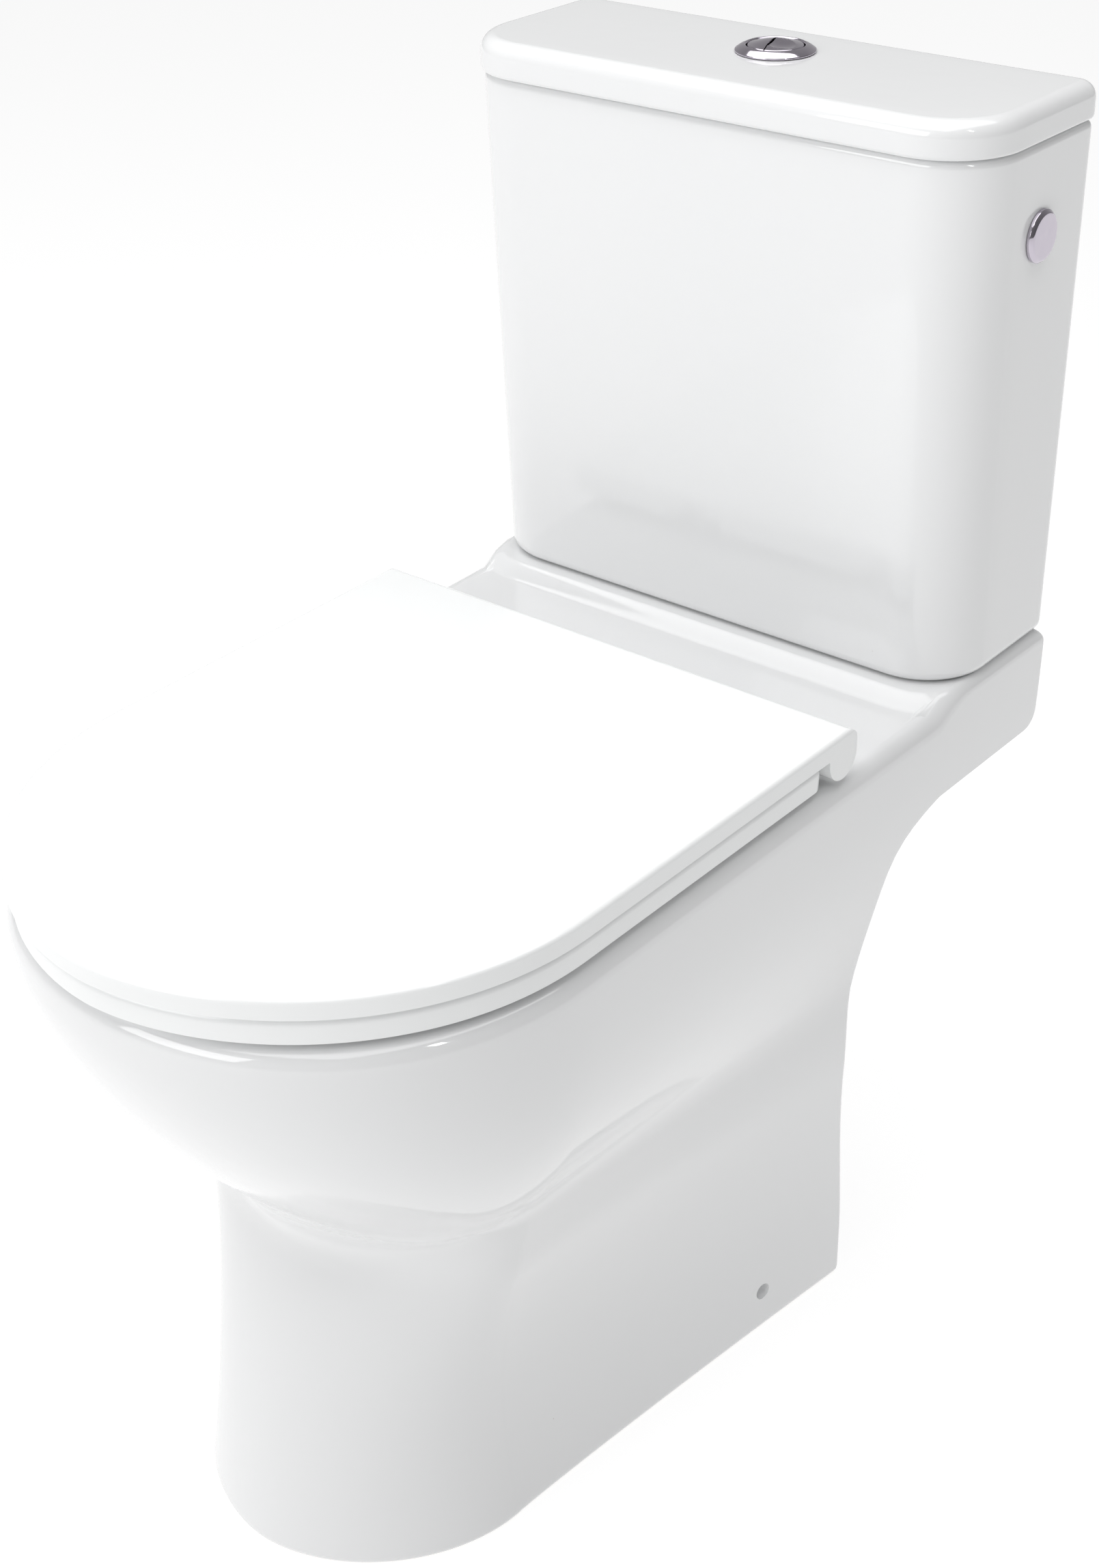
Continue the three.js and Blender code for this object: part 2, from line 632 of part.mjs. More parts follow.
function flushTower() {
  const shellTop = towerTop - towerWall;
  let tower = washer(towerRadius, towerRadius - towerWall, towerBase, towerTop, 0, valveY, 24);
  tower = join(tower, washer(towerRadius - 1, overflowRadius + 1, shellTop, towerTop, 0, valveY, 24));
  for (let i = 0; i < 4; i += 1) {
    const window = block(-11, 11, towerRadius - 8, towerRadius + 4, towerBase + 6, towerBase + 44);
    tower = cut(tower, window.rotate([0, 0, 45 + 90 * i]).translate([0, valveY, 0]));
  }
  for (const side of sides) {
    const cheek = block(side * 15.5 - 1.5, side * 15.5 + 1.5, fromWall(pivotBack + 4), fromWall(pivotBack - 4),
      towerTop - 2, pivotHeight + 4);
    tower = join(tower, cheek);
  }
  tower = cut(tower, axle(1.5 + touch, -20, 20, fromWall(pivotBack), pivotHeight, 12));
  piece('flush_valve_tower', tower, whiteNylon);
  piece('rocker_pin', axle(1.5, -18, 18, fromWall(pivotBack), pivotHeight, 12), steel);
}

flushTower();

const flangeBase = pivotHeight + 8;

// Lever from under a push rod, over the pin, to under the overflow tube's flange.
function rocker(name, x) {
  const y = (back) => fromWall(back);
  const top = pivotHeight + 3.5;
  const arm = block(x - 2.5, x + 2.5, y(pivotBack + 6), y(rodBack - 3), top - 4, top);
  const body = cut(join(arm, axle(4, x - 2.5, x + 2.5, y(pivotBack), pivotHeight, 16)),
    axle(1.5 + running, x - 4, x + 4, y(pivotBack), pivotHeight, 12));
  piece(name, body, blueNylon);
}

rocker('full_flush_rocker', rodOffset);
rocker('half_flush_rocker', -rodOffset);

function flushTube() {
  const sealTop = valveSeat + touch + 3;
  const discBase = sealTop + touch;
  const tubeTop = flangeBase + 12;
  const profile = [[overflowRadius - 2, discBase], [27, discBase], [27, discBase + 3.5], [overflowRadius, discBase + 6],
    [overflowRadius, flangeBase], [17, flangeBase], [17, flangeBase + 2.5], [overflowRadius, flangeBase + 4],
    [overflowRadius, tubeTop], [overflowRadius - 2, tubeTop], [overflowRadius - 2, discBase]];
  piece('overflow_tube', turned(profile, 0, valveY), whiteNylon);
  piece('flush_seal', washer(26.5, 18, valveSeat + touch, sealTop, 0, valveY, 24), rubber);
}

flushTube();

// ---------- Push button ----------

const buttonY = fromWall(buttonBack);
const collarTop = lidTop + touch + 4.2;
const sleeveEnd = lidBase - 18;
const buttonTop = collarTop + 2.8;
const buttonFoot = lidTop - 6;

function buttonCollar() {
  const inner = buttonRadius + 0.6;
  const profile = [[inner, sleeveEnd], [sleeveRadius, sleeveEnd], [sleeveRadius, lidTop + touch], [collarRadius, lidTop + touch],
    [collarRadius, lidTop + touch + 1.2], [inner + 1.6, collarTop], [inner, collarTop - 0.8], [inner, sleeveEnd]];
  let collar = turned(profile, 0, buttonY, 24);
  collar = join(collar, post(sleeveRadius - 0.8, sleeveEnd, sleeveEnd + 2, 0, buttonY, 24));
  for (const side of sides) {
    collar = cut(collar, post(rodRadius + 0.8, sleeveEnd - 1, sleeveEnd + 4, side * rodOffset, fromWall(rodBack), 12));
  }
  piece('button_collar', collar, chrome);
  piece('collar_nut', cut(post(sleeveRadius + 7.6, lidTop - lidWall - 8 - touch, lidTop - lidWall - touch, 0, buttonY, 8),
    post(sleeveRadius + touch, lidBase - 20, lidTop, 0, buttonY, 24)), whiteNylon);
}

buttonCollar();

// Domed button; the split runs slantwise, so one part is larger than the other.
function pushButtons() {
  const dome = [[0, buttonFoot], [buttonRadius, buttonFoot], [buttonRadius, buttonTop - 4], [buttonRadius - 2, buttonTop - 2],
    [buttonRadius - 7, buttonTop - 0.5], [0, buttonTop]];
  const whole = turned(dome, 0, buttonY, 24);
  const slant = 20;
  const half = (side, gap) => block(Math.min(side * gap, side * 40), Math.max(side * gap, side * 40), -40, 40,
    buttonFoot - 5, buttonTop + 5).rotate([0, 0, slant]).translate([-1.5, buttonY, 0]);
  const rod = (side) => post(rodRadius, flangeBase - 2.5, buttonFoot + 1, side * rodOffset, fromWall(rodBack), 12);
  piece('full_flush_button', whole.intersect(half(1, 0.4)), chrome);
  piece('half_flush_button', whole.intersect(half(-1, 0.4)), chrome);
  piece('full_flush_rod', rod(1).subtract(post(5, buttonFoot - touch, buttonFoot + 9, rodOffset,
    fromWall(rodBack))), whiteNylon);
  piece('half_flush_rod', rod(-1).subtract(post(5, buttonFoot - touch, buttonFoot + 9, -rodOffset,
    fromWall(rodBack))), whiteNylon);
}

pushButtons();

// Coil spring round each rod, between the collar's floor and the button.
function buttonSprings() {
  const wire = 0.6;
  const low = sleeveEnd + 2 + touch + wire;
  const high = buttonFoot - touch - wire;
  const turns = 4;
  for (const side of sides) {
    const points = [];
    for (let i = 0; i <= turns * 8; i += 1) {
      const angle = (i / 8) * 2 * Math.PI;
      points.push([side * rodOffset + 3.9 * Math.cos(angle), fromWall(rodBack) + 3.9 * Math.sin(angle),
        low + (high - low) * i / (turns * 8)]);
    }
    piece(side > 0 ? 'full_flush_spring' : 'half_flush_spring', sweep(wire, points, 4, turns * 8), steel);
  }
}

buttonSprings();

// ---------- Fill valve and blanking plug ----------

const sideY = fromWall(sideHoleBack);
const sideZ = cisternBase + sideHoleHeight;

function fillValve() {
  const inside = -(holeFace - cisternWall) + 2;
  const tail = axle(10.2, -198, inside + 8, sideY, sideZ);
  const flange = axle(16, inside + 1.5 + touch, inside + 5, sideY, sideZ);
  const head = axle(14, inside + 4, inside + 38, sideY, sideZ);
  const ear = block(inside + 26, inside + 38, sideY - 5, sideY + 5, sideZ, sideZ + 24);
  const spout = post(7, sideZ - 26, sideZ, inside + 14, sideY, 16);
  const pivotX = inside + 32;
  const pivotZ = sideZ + 20;
  const body = cut(join(tail, flange, head, ear, spout),
    axle(6, -199, inside + 14, sideY, sideZ, 16), post(4.5, sideZ - 27, sideZ, inside + 14, sideY, 12),
    spoke(1.5 + touch, sideY - 8, sideY + 8, pivotX, pivotZ, 12));
  piece('fill_valve', body, whiteNylon);
  piece('fill_valve_seal', axle(15, inside + touch - 1.4, inside + 1.5, sideY, sideZ)
    .subtract(axle(10.2 + touch, inside - 5, inside + 5, sideY, sideZ)), rubber);
  const nutEnd = -(holeFace + touch);
  piece('fill_valve_nut', axle(15, nutEnd - 6, nutEnd, sideY, sideZ, 6)
    .subtract(axle(10.2 + touch, nutEnd - 8, nutEnd + 2, sideY, sideZ)), brass);
  piece('float_pin', spoke(1.5, sideY - 9.5, sideY + 9.5, pivotX, pivotZ, 12), brass);
  floatArm(pivotX, pivotZ);
}

// Forked arm on the pin, adjusting screw and the float cup below it.
function floatArm(pivotX, pivotZ) {
  const cupX = pivotX + 48;
  const fork = join(...sides.map((side) => block(pivotX - 4, pivotX + 14, sideY + side * 7 - 1.5,
    sideY + side * 7 + 1.5, pivotZ - 4, pivotZ + 4)));
  const arm = join(fork, block(pivotX + 10, pivotX + 20, sideY - 8.5, sideY + 8.5, pivotZ - 4, pivotZ + 4),
    block(pivotX + 18, cupX + 7, sideY - 5, sideY + 5, pivotZ - 3, pivotZ + 3));
  piece('float_arm', cut(arm, spoke(1.5 + running, sideY - 12, sideY + 12, pivotX, pivotZ, 12),
    post(2.5 + touch, pivotZ - 9, pivotZ + 9, cupX, sideY, 12)), blueNylon);
  const cupTop = pivotZ - 34;
  const cupBase = cupTop - 62;
  const cup = cut(slab(roundedSquare(cupX, sideY, 28, 27, 6), cupBase, cupTop, 2),
    slab(roundedSquare(cupX, sideY, 26, 25, 5), cupBase - 1, cupTop - 3, 0),
    post(2.5 + touch, cupTop - 9, cupTop + 9, cupX, sideY, 12));
  piece('float', cup, whiteNylon);
  piece('float_screw', join(post(2.5, cupTop - 12, pivotZ + 12, cupX, sideY, 12),
    post(5, pivotZ + 3 + touch, pivotZ + 8, cupX, sideY, 12),
    post(5, cupTop + touch, cupTop + 4, cupX, sideY, 12)), brass);
}

// Outline of a rounded rectangle about a point.
function roundedSquare(x, y, halfX, halfY, radius) {
  const points = [];
  for (let corner = 0; corner < 4; corner += 1) {
    const [sx, sy] = [[1, 1], [-1, 1], [-1, -1], [1, -1]][corner];
    for (let i = 0; i <= 3; i += 1) {
      const turn = (corner + i / 3) * Math.PI / 2;
      points.push([x + sx * (halfX - radius) + radius * Math.cos(turn),
        y + sy * (halfY - radius) + radius * Math.sin(turn)]);
    }
  }
  return points;
}

fillValve();

function blankingPlug() {
  const outside = holeFace + touch;
  const inside = holeFace - cisternWall - 1.4;
  const cap = join(axle(15.5, outside, outside + 2.4, sideY, sideZ, 32),
    axle(13.4, outside + 1, outside + 4, sideY, sideZ, 32), axle(9.6, inside - 12, outside + 1, sideY, sideZ));
  piece('side_hole_cap', cap, chrome);
  piece('side_hole_seal', axle(15, inside - 2.6, inside - touch, sideY, sideZ)
    .subtract(axle(9.6 + touch, inside - 5, inside + 5, sideY, sideZ)), rubber);
  piece('side_hole_nut', axle(15, inside - 9, inside - 2.6 - touch, sideY, sideZ, 6)
    .subtract(axle(9.6 + touch, inside - 12, inside + 5, sideY, sideZ)), whiteNylon);
}

blankingPlug();

// ---------- Seat ----------

const seatTip = projection;
const hingeY = fromWall(hingeBack);

// Outline of the seat drawn in by inset, from back (distance from the wall) round the front.
function seatOutline(back, inset, steps = 12) {
  const reach = seatCurve - inset;
  const centre = seatTip - seatCurve;
  const half = [[0, fromWall(seatTip - inset)]];
  for (let i = 1; i <= steps; i += 1) {
    const turn = (i / steps) * Math.PI / 2;
    half.push([(seatFrontWidth / 2 - inset) * Math.sin(turn) ** (2 / 1.84),
      fromWall(centre + reach * Math.cos(turn) ** (2 / 2.1))]);
  }
  half.push([seatWidth / 2 - inset - 0.6, fromWall((centre + back) / 2)]);
  half.push([seatWidth / 2 - inset, fromWall(back)]);
  half.push([0, fromWall(back)]);
  return mirrored(half);
}

function seatRing() {
  const back = hingeBack + 19;
  const openingBack = back + 50;
  const openingFront = seatTip - 2 - ringWidth;
  const opening = bowlOutline(seatFrontWidth / 2 - ringWidth, openingFront, openingBack,
    (openingFront + openingBack) / 2).reverse();
  let ring = slab(seatOutline(back, 2), ringBase, ringTop, 2.5, [opening]);
  for (const side of sides) {
    const [near, far] = [side * (hingeSpacing / 2 - 19), side * (hingeSpacing / 2 - 9)];
    ring = join(ring, axle(7, near, far, hingeY, hingeHeight, 20),
      block(Math.min(near, far), Math.max(near, far), fromWall(back + 6), hingeY, hingeHeight - 6, hingeHeight + 0.4));
  }
  return cut(ring, axle(pinRadius + running, -120, 120, hingeY, hingeHeight, 20));
}

function seatLid() {
  const hoodEdge = 8;
  const rear = seatBack;
  const plate = slab(seatOutline(rear + hoodEdge, 0), seatLidBase, seatLidTop, 3);
  const recess = slab(seatOutline(hingeBack + 42, 16), seatLidBase - 4, seatLidBase + 3.2, 0);
  const halfWidth = seatWidth / 2;
  let lid = join(plate.subtract(recess), axle(hoodRadius, -halfWidth, halfWidth, hingeY, hingeHeight, 32),
    block(-halfWidth, halfWidth, fromWall(hingeBack + 30), fromWall(rear + hoodEdge), seatLidBase, seatLidTop),
    axle(hoodEdge, -halfWidth, halfWidth, fromWall(rear + hoodEdge), seatLidTop - hoodEdge, 24),
    block(-halfWidth, halfWidth, hingeY, fromWall(rear), hingeHeight, seatLidTop - hoodEdge));
  for (const side of sides) {
    const span = [side * (hingeSpacing / 2 - 22), side * (hingeSpacing / 2 + 22)].sort((a, b) => a - b);
    const chamber = join(axle(11.5, ...span, hingeY, hingeHeight, 24),
      block(...span, fromWall(hingeBack + 16), fromWall(rear - 3), hingeHeight - 20, hingeHeight + 1),
      block(...[side * (hingeSpacing / 2 - 10), side * (hingeSpacing / 2 + 9)].sort((a, b) => a - b),
        hingeY, fromWall(rear - 3), hingeHeight, hingeHeight + 9.5));
    const knuckle = axle(8, side * (hingeSpacing / 2 + 9.5), side * (hingeSpacing / 2 + 24), hingeY, hingeHeight, 20);
    lid = cut(join(lid.subtract(chamber), knuckle),
      axle(5.5, side * (hingeSpacing / 2 + 9), side * (hingeSpacing / 2 + 50), hingeY, hingeHeight, 20));
  }
  return lid;
}

piece('seat_ring', seatRing(), seatPlastic);
piece('seat_lid', seatLid(), seatPlastic);

function hinges() {
  for (const side of sides) {
    const hand = side < 0 ? 'left' : 'right';
    const x = side * hingeSpacing / 2;
    const deck = rimHeight;
    const post1 = join(post(6, deck + touch, hingeHeight, x, hingeY, 20),
      post(9, deck + touch, deck + 2.2, x, hingeY, 20), axle(8, x - 8, x + 8, hingeY, hingeHeight, 20));
    piece(`hinge_post_${hand}`, cut(post1, axle(pinRadius + touch, x - 12, x + 12, hingeY, hingeHeight, 20),
      post(2.6 + touch, deck - 1, deck + 7, x, hingeY, 12)), steel);
    piece(`hinge_pin_${hand}`, axle(pinRadius, x - side * 20, x + side * 20, hingeY, hingeHeight, 20), steel);
    piece(`hinge_stud_${hand}`, post(2.6, deck - deckThickness - 30, deck + 6, x, hingeY, 12), steel);
    const seat = deck - deckThickness - touch;
    piece(`hinge_washer_${hand}`, washer(11, 2.6 + touch, seat - 3, seat, x, hingeY), rubber);
    piece(`hinge_nut_${hand}`, cut(join(post(8, seat - 15, seat - 3 - touch, x, hingeY, 6),
      post(11, seat - 6, seat - 3 - touch, x, hingeY)),
    post(2.6 + touch, seat - 20, seat, x, hingeY, 12)), whiteNylon);
    const damper = cut(axle(5.2, x + side * 10, x + side * 49, hingeY, hingeHeight, 20),
      axle(pinRadius + touch, x + side * 8, x + side * 21, hingeY, hingeHeight, 20));
    piece(`soft_close_damper_${hand}`, damper, blueNylon);
  }
}

hinges();

// Rubber buffers: two at the front and two at the back under the ring, two at the front under the lid.
function buffers() {
  const places = [['front', projection - 94, seatWidth / 2 - 62], ['back', hingeBack + 66, seatWidth / 2 - 25]];
  for (const [end, back, x] of places) {
    for (const side of sides) {
      const hand = side < 0 ? 'left' : 'right';
      const at = [side * x, fromWall(back)];
      piece(`ring_buffer_${end}_${hand}`, post(7, rimHeight + touch, ringBase - touch, ...at, 16), softWhite);
      if (end === 'front') {
        piece(`lid_buffer_${hand}`, post(5, ringTop + touch, seatLidBase + 3.2 - touch, ...at, 16), softWhite);
      }
    }
  }
}

buffers();

export default model;
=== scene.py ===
import logging
import math
from dataclasses import dataclass, field
from enum import Enum
from typing import Any, Optional, Sequence, Union

import bpy
import numpy as np
from mathutils import Matrix, Vector


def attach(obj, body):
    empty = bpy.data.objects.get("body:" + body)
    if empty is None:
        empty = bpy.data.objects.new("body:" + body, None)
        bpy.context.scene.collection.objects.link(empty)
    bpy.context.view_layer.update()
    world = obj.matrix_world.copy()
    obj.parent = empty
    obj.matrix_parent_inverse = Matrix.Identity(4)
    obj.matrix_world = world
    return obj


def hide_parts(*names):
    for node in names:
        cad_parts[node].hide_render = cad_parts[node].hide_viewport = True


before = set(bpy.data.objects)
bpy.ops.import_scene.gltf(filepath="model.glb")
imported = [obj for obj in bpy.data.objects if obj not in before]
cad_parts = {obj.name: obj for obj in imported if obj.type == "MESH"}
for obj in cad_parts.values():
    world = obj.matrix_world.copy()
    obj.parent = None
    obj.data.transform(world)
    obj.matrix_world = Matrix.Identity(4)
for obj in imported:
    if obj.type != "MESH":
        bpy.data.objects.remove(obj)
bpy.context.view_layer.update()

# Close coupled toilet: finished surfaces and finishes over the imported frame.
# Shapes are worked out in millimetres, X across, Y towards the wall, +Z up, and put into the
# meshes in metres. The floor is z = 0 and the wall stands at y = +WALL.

logging.basicConfig(level=logging.INFO, format="%(name)s: %(message)s")
log = logging.getLogger("toilet")

Array = np.ndarray
Number = Union[float, Array]
Plug = Union["Wire", float, Sequence[float]]

MM = 0.001
WALL = 327.0
SMOOTH_UNDER = math.radians(32)


class Body(Enum):
    """Moving bodies that the pieces ride on."""

    PAN = "pan_assembly"
    LID = "lid"
    RING = "ring"
    COVER = "cistern_cover"
    FULL_BUTTON = "full_button"
    HALF_BUTTON = "half_button"


class Axis(Enum):
    """Direction that a turned shape stands along."""

    X = "x"
    Y = "y"
    Z = "z"


class Hand(Enum):
    """Left and right side of the toilet, as the sign of X."""

    LEFT = -1
    RIGHT = 1


# ---------- Numbers along curves ----------


def from_wall(distance: Number) -> Number:
    """Y of a point at a distance from the wall."""
    return WALL - distance


def clamped(value: Number) -> Number:
    """Value held between 0 and 1."""
    return np.clip(value, 0.0, 1.0)


def smooth_step(low: float, high: float, value: Number) -> Number:
    """Rises from 0 at low to 1 at high as 3t^2 - 2t^3.

    Args:
        low: value where the rise starts.
        high: value where it ends.
        value: where it is asked for.

    Returns:
        The share of the rise.
    """
    t = clamped((value - low) / (high - low))
    return t * t * (3 - 2 * t)


def blended(a: Number, b: Number, width: Number) -> Number:
    """Greater of a and b, with the crease between them rounded over a width.

    It is half of a + b + root of ((a - b) squared + (0.42 width) squared).

    Args:
        a: one value.
        b: the other value.
        width: how far apart they are where the rounding has nearly faded out.

    Returns:
        The blended value.
    """
    return (a + b + np.hypot(a - b, 0.42 * width)) / 2


def super_radius(turn: Array, half_width: Number, reach: Number, power: Number) -> Array:
    """Distance to a superellipse, (|cos|/half_width)^p + (|sin|/reach)^p to the power -1/p.

    Args:
        turn: directions in radians, 0 along X.
        half_width: half width along X.
        reach: half length along Y.
        power: 2 for an ellipse, larger for squarer.

    Returns:
        The distances from the centre.
    """
    across = np.abs(np.cos(turn)) / half_width
    along = np.abs(np.sin(turn)) / reach
    return (across**power + along**power) ** (-1 / power)


def arc(steps: int) -> tuple[Array, Array]:
    """Sine and 1 - cosine of a quarter turn in equal steps, both ends included."""
    turn = np.linspace(0, math.pi / 2, steps + 1)
    return np.sin(turn), 1 - np.cos(turn)


def mirrored(half: Array) -> Array:
    """Whole outlines from right halves that start and end on the centre line.

    Args:
        half: points (..., count, 2) from the front to the back.

    Returns:
        The outlines, anticlockwise from the front.
    """
    other = half[..., -2:0:-1, :] * np.array([-1.0, 1.0])
    return np.concatenate([half, other], axis=-2)


def raised(outlines: Array, heights: Number) -> Array:
    """Outlines (rows, columns, 2) lifted to heights, which broadcast over rows or over points."""
    z = np.broadcast_to(heights, outlines.shape[:-1])
    return np.concatenate([outlines, z[..., None]], axis=-1)


def spline(points: Sequence[Sequence[float]], steps: int) -> Array:
    """Smooth path through points by Catmull-Rom cubics.

    Args:
        points: the points passed through.
        steps: points made for each span.

    Returns:
        The path (count, 3).
    """
    p = np.asarray(points, float)
    p = np.vstack([2 * p[0] - p[1], p, 2 * p[-1] - p[-2]])
    t = np.linspace(0, 1, steps, endpoint=False)[None, :, None]
    a, b, c, d = p[:-3, None], p[1:-2, None], p[2:-1, None], p[3:, None]
    curve = b + 0.5 * t * (c - a + t * (2 * a - 5 * b + 4 * c - d + t * (3 * (b - c) + d - a)))
    return np.vstack([curve.reshape(-1, 3), p[-2]])


# ---------- Surfaces ----------


@dataclass
class Surface:
    """Closed surface: points in millimetres, and arrays of faces with the same number of corners."""

    points: Array
    faces: list[Array]

    def volume(self) -> float:
        """Signed volume, the sum of the tetrahedra from the origin to each face's fan."""
        total = 0.0
        for group in self.faces:
            first = self.points[group[:, 0]]
            for i in range(1, group.shape[1] - 1):
                second, third = self.points[group[:, i]], self.points[group[:, i + 1]]
                total += float(np.einsum("ij,ij->", first, np.cross(second, third)))
        return total / 6

    def outward(self) -> "Surface":
        """The same surface with its faces pointing out."""
        if self.volume() >= 0:
            return self
        return Surface(self.points, [group[:, ::-1] for group in self.faces])

    def turned(self, degrees: float, about: tuple[float, float]) -> "Surface":
        """The surface turned about an upright axis.

        Args:
            degrees: turn, anticlockwise from above.
            about: X and Y of the axis.

        Returns:
            The turned surface.
        """
        c, s = math.cos(math.radians(degrees)), math.sin(math.radians(degrees))
        centre = np.array([*about, 0.0])
        spin = np.array([[c, s, 0], [-s, c, 0], [0, 0, 1.0]])
        return Surface((self.points - centre) @ spin + centre, self.faces)


def grid_faces(rows: int, columns: int, ring: bool) -> Array:
    """Four-sided faces of a grid whose columns close; its rows close too where ring is true."""
    row = np.arange(rows if ring else rows - 1)[:, None]
    column = np.arange(columns)[None, :]
    above, beside = (row + 1) % rows, (column + 1) % columns
    corners = [row * columns + column, row * columns + beside, above * columns + beside,
               above * columns + column]
    return np.stack(np.broadcast_arrays(*corners), axis=-1).reshape(-1, 4)


def lofted(rows: Array, flat_ends: bool = False) -> Surface:
    """Surface through a stack of closed outlines, each end closed.

    Args:
        rows: points (rows, columns, 3).
        flat_ends: True closes each end by one face, False by a fan round its middle.

    Returns:
        The closed surface.
    """
    count, columns = rows.shape[:2]
    points = rows.reshape(-1, 3)
    faces = [grid_faces(count, columns, False)]
    first = np.arange(columns)
    last = first + (count - 1) * columns
    if flat_ends:
        faces.append(np.stack([first[::-1], last]))
    else:
        low, high = len(points), len(points) + 1
        points = np.vstack([points, rows[0].mean(0), rows[-1].mean(0)])
        faces.append(np.stack([np.full(columns, low), np.roll(first, -1), first], 1))
        faces.append(np.stack([np.full(columns, high), last, np.roll(last, -1)], 1))
    return Surface(points, faces).outward()


def ring_lofted(rows: Array) -> Surface:
    """Surface through outlines whose last row joins the first, as round a ring."""
    count, columns = rows.shape[:2]
    return Surface(rows.reshape(-1, 3), [grid_faces(count, columns, True)]).outward()


def placed(flat: Array, axis: Axis, centre: Sequence[float]) -> Array:
    """Points (u, v, along) stood along an axis through a centre.

    Args:
        flat: points whose third number runs along the axis.
        axis: the axis.
        centre: X, Y, Z of the axis; its number along the axis is added to the third.

    Returns:
        The points in X, Y, Z.
    """
    order = {Axis.Z: [0, 1, 2], Axis.X: [2, 0, 1], Axis.Y: [1, 2, 0]}[axis]
    return flat[..., order] + np.asarray(centre, float)


def turned(profile: Sequence[Sequence[float]], centre: Sequence[float], axis: Axis = Axis.Z,
           sides: int = 64) -> Surface:
    """Solid of revolution: each profile point (radius, along) is carried round the axis.

    Args:
        profile: (radius, along) pairs; a profile that ends away from the axis is closed on itself.
        centre: a point of the axis.
        axis: direction of the axis.
        sides: points round the axis.

    Returns:
        The closed surface.
    """
    line = np.asarray(profile, float)
    turn = np.linspace(0, 2 * math.pi, sides, endpoint=False)
    open_ends = line[0, 0] > 0 and line[-1, 0] > 0 and not np.allclose(line[0], line[-1])
    on_axis = line[0, 0] <= 0 and line[-1, 0] <= 0
    if on_axis:
        line = line[1:-1]
    elif not open_ends:
        line = line[:-1]
    circle = np.stack([np.cos(turn), np.sin(turn)], -1)
    rows = np.concatenate([line[:, None, :1] * circle,
                           np.broadcast_to(line[:, None, 1:], (len(line), sides, 1))], -1)
    rows = placed(rows, axis, centre)
    return lofted(rows) if on_axis else ring_lofted(rows)


def bar(radius: float, low: float, high: float, centre: Sequence[float], axis: Axis = Axis.Z,
        sides: int = 48, edge: float = 0.0) -> Surface:
    """Round bar between two places along its axis, its ends eased by edge.

    Args:
        radius: radius of the bar.
        low: one end along the axis.
        high: the other end.
        centre: X, Y, Z of the axis, with 0 along it.
        axis: direction of the bar.
        sides: points round it.
        edge: size of the easing at both ends.

    Returns:
        The closed surface.
    """
    low, high = min(low, high), max(low, high)
    if edge > 0:
        rise, inset = arc(3)
        start = [(radius - edge * (1 - s), low + edge * (c)) for s, c in zip(rise, inset)]
        end = [(radius - edge * c, high - edge * (1 - s)) for s, c in zip(rise, inset)]
        line = [(0.0, low), *start, *end, (0.0, high)]
    else:
        line = [(0.0, low), (radius, low), (radius, high), (0.0, high)]
    return turned(line, centre, axis, sides)


def prism(outline: Array, low: float, high: float, axis: Axis = Axis.Z) -> Surface:
    """Flat outline carried along an axis between two places, closed by flat ends."""
    rows = [np.column_stack([outline, np.full(len(outline), level)]) for level in (low, high)]
    return lofted(placed(np.stack(rows), axis, (0, 0, 0)), flat_ends=True)


def block(x: Sequence[float], y: Sequence[float], z: Sequence[float]) -> Surface:
    """Straight-edged block between two values on each axis."""
    (x0, x1), (y0, y1) = sorted(x), sorted(y)
    outline = np.array([[x0, y0], [x1, y0], [x1, y1], [x0, y1]], float)
    return prism(outline, min(z), max(z))


def hexagon(across: float, low: float, high: float, centre: Sequence[float], axis: Axis,
            chamfer: float = 0.8) -> Surface:
    """Hexagonal nut blank with eased ends, its corners at across from the axis."""
    line = [(0.0, low), (across - chamfer, low), (across, low + chamfer * 0.6),
            (across, high - chamfer * 0.6), (across - chamfer, high), (0.0, high)]
    return turned(line, centre, axis, 6)


def tube(path: Array, radius: float, sides: int = 48) -> Surface:
    """Round bar along a path in the plane x = 0: circles spanned by X and the path's normal.

    Args:
        path: points (count, 3).
        radius: radius of the bar.
        sides: points round it.

    Returns:
        The closed surface.
    """
    along = np.gradient(path, axis=0)
    along /= np.linalg.norm(along, axis=1, keepdims=True)
    across = np.array([1.0, 0.0, 0.0])
    up = np.cross(along, across)
    turn = np.linspace(0, 2 * math.pi, sides, endpoint=False)[None, :, None]
    rows = path[:, None] + radius * (np.cos(turn) * across + np.sin(turn) * up[:, None])
    return lofted(rows)


# ---------- Finishes ----------


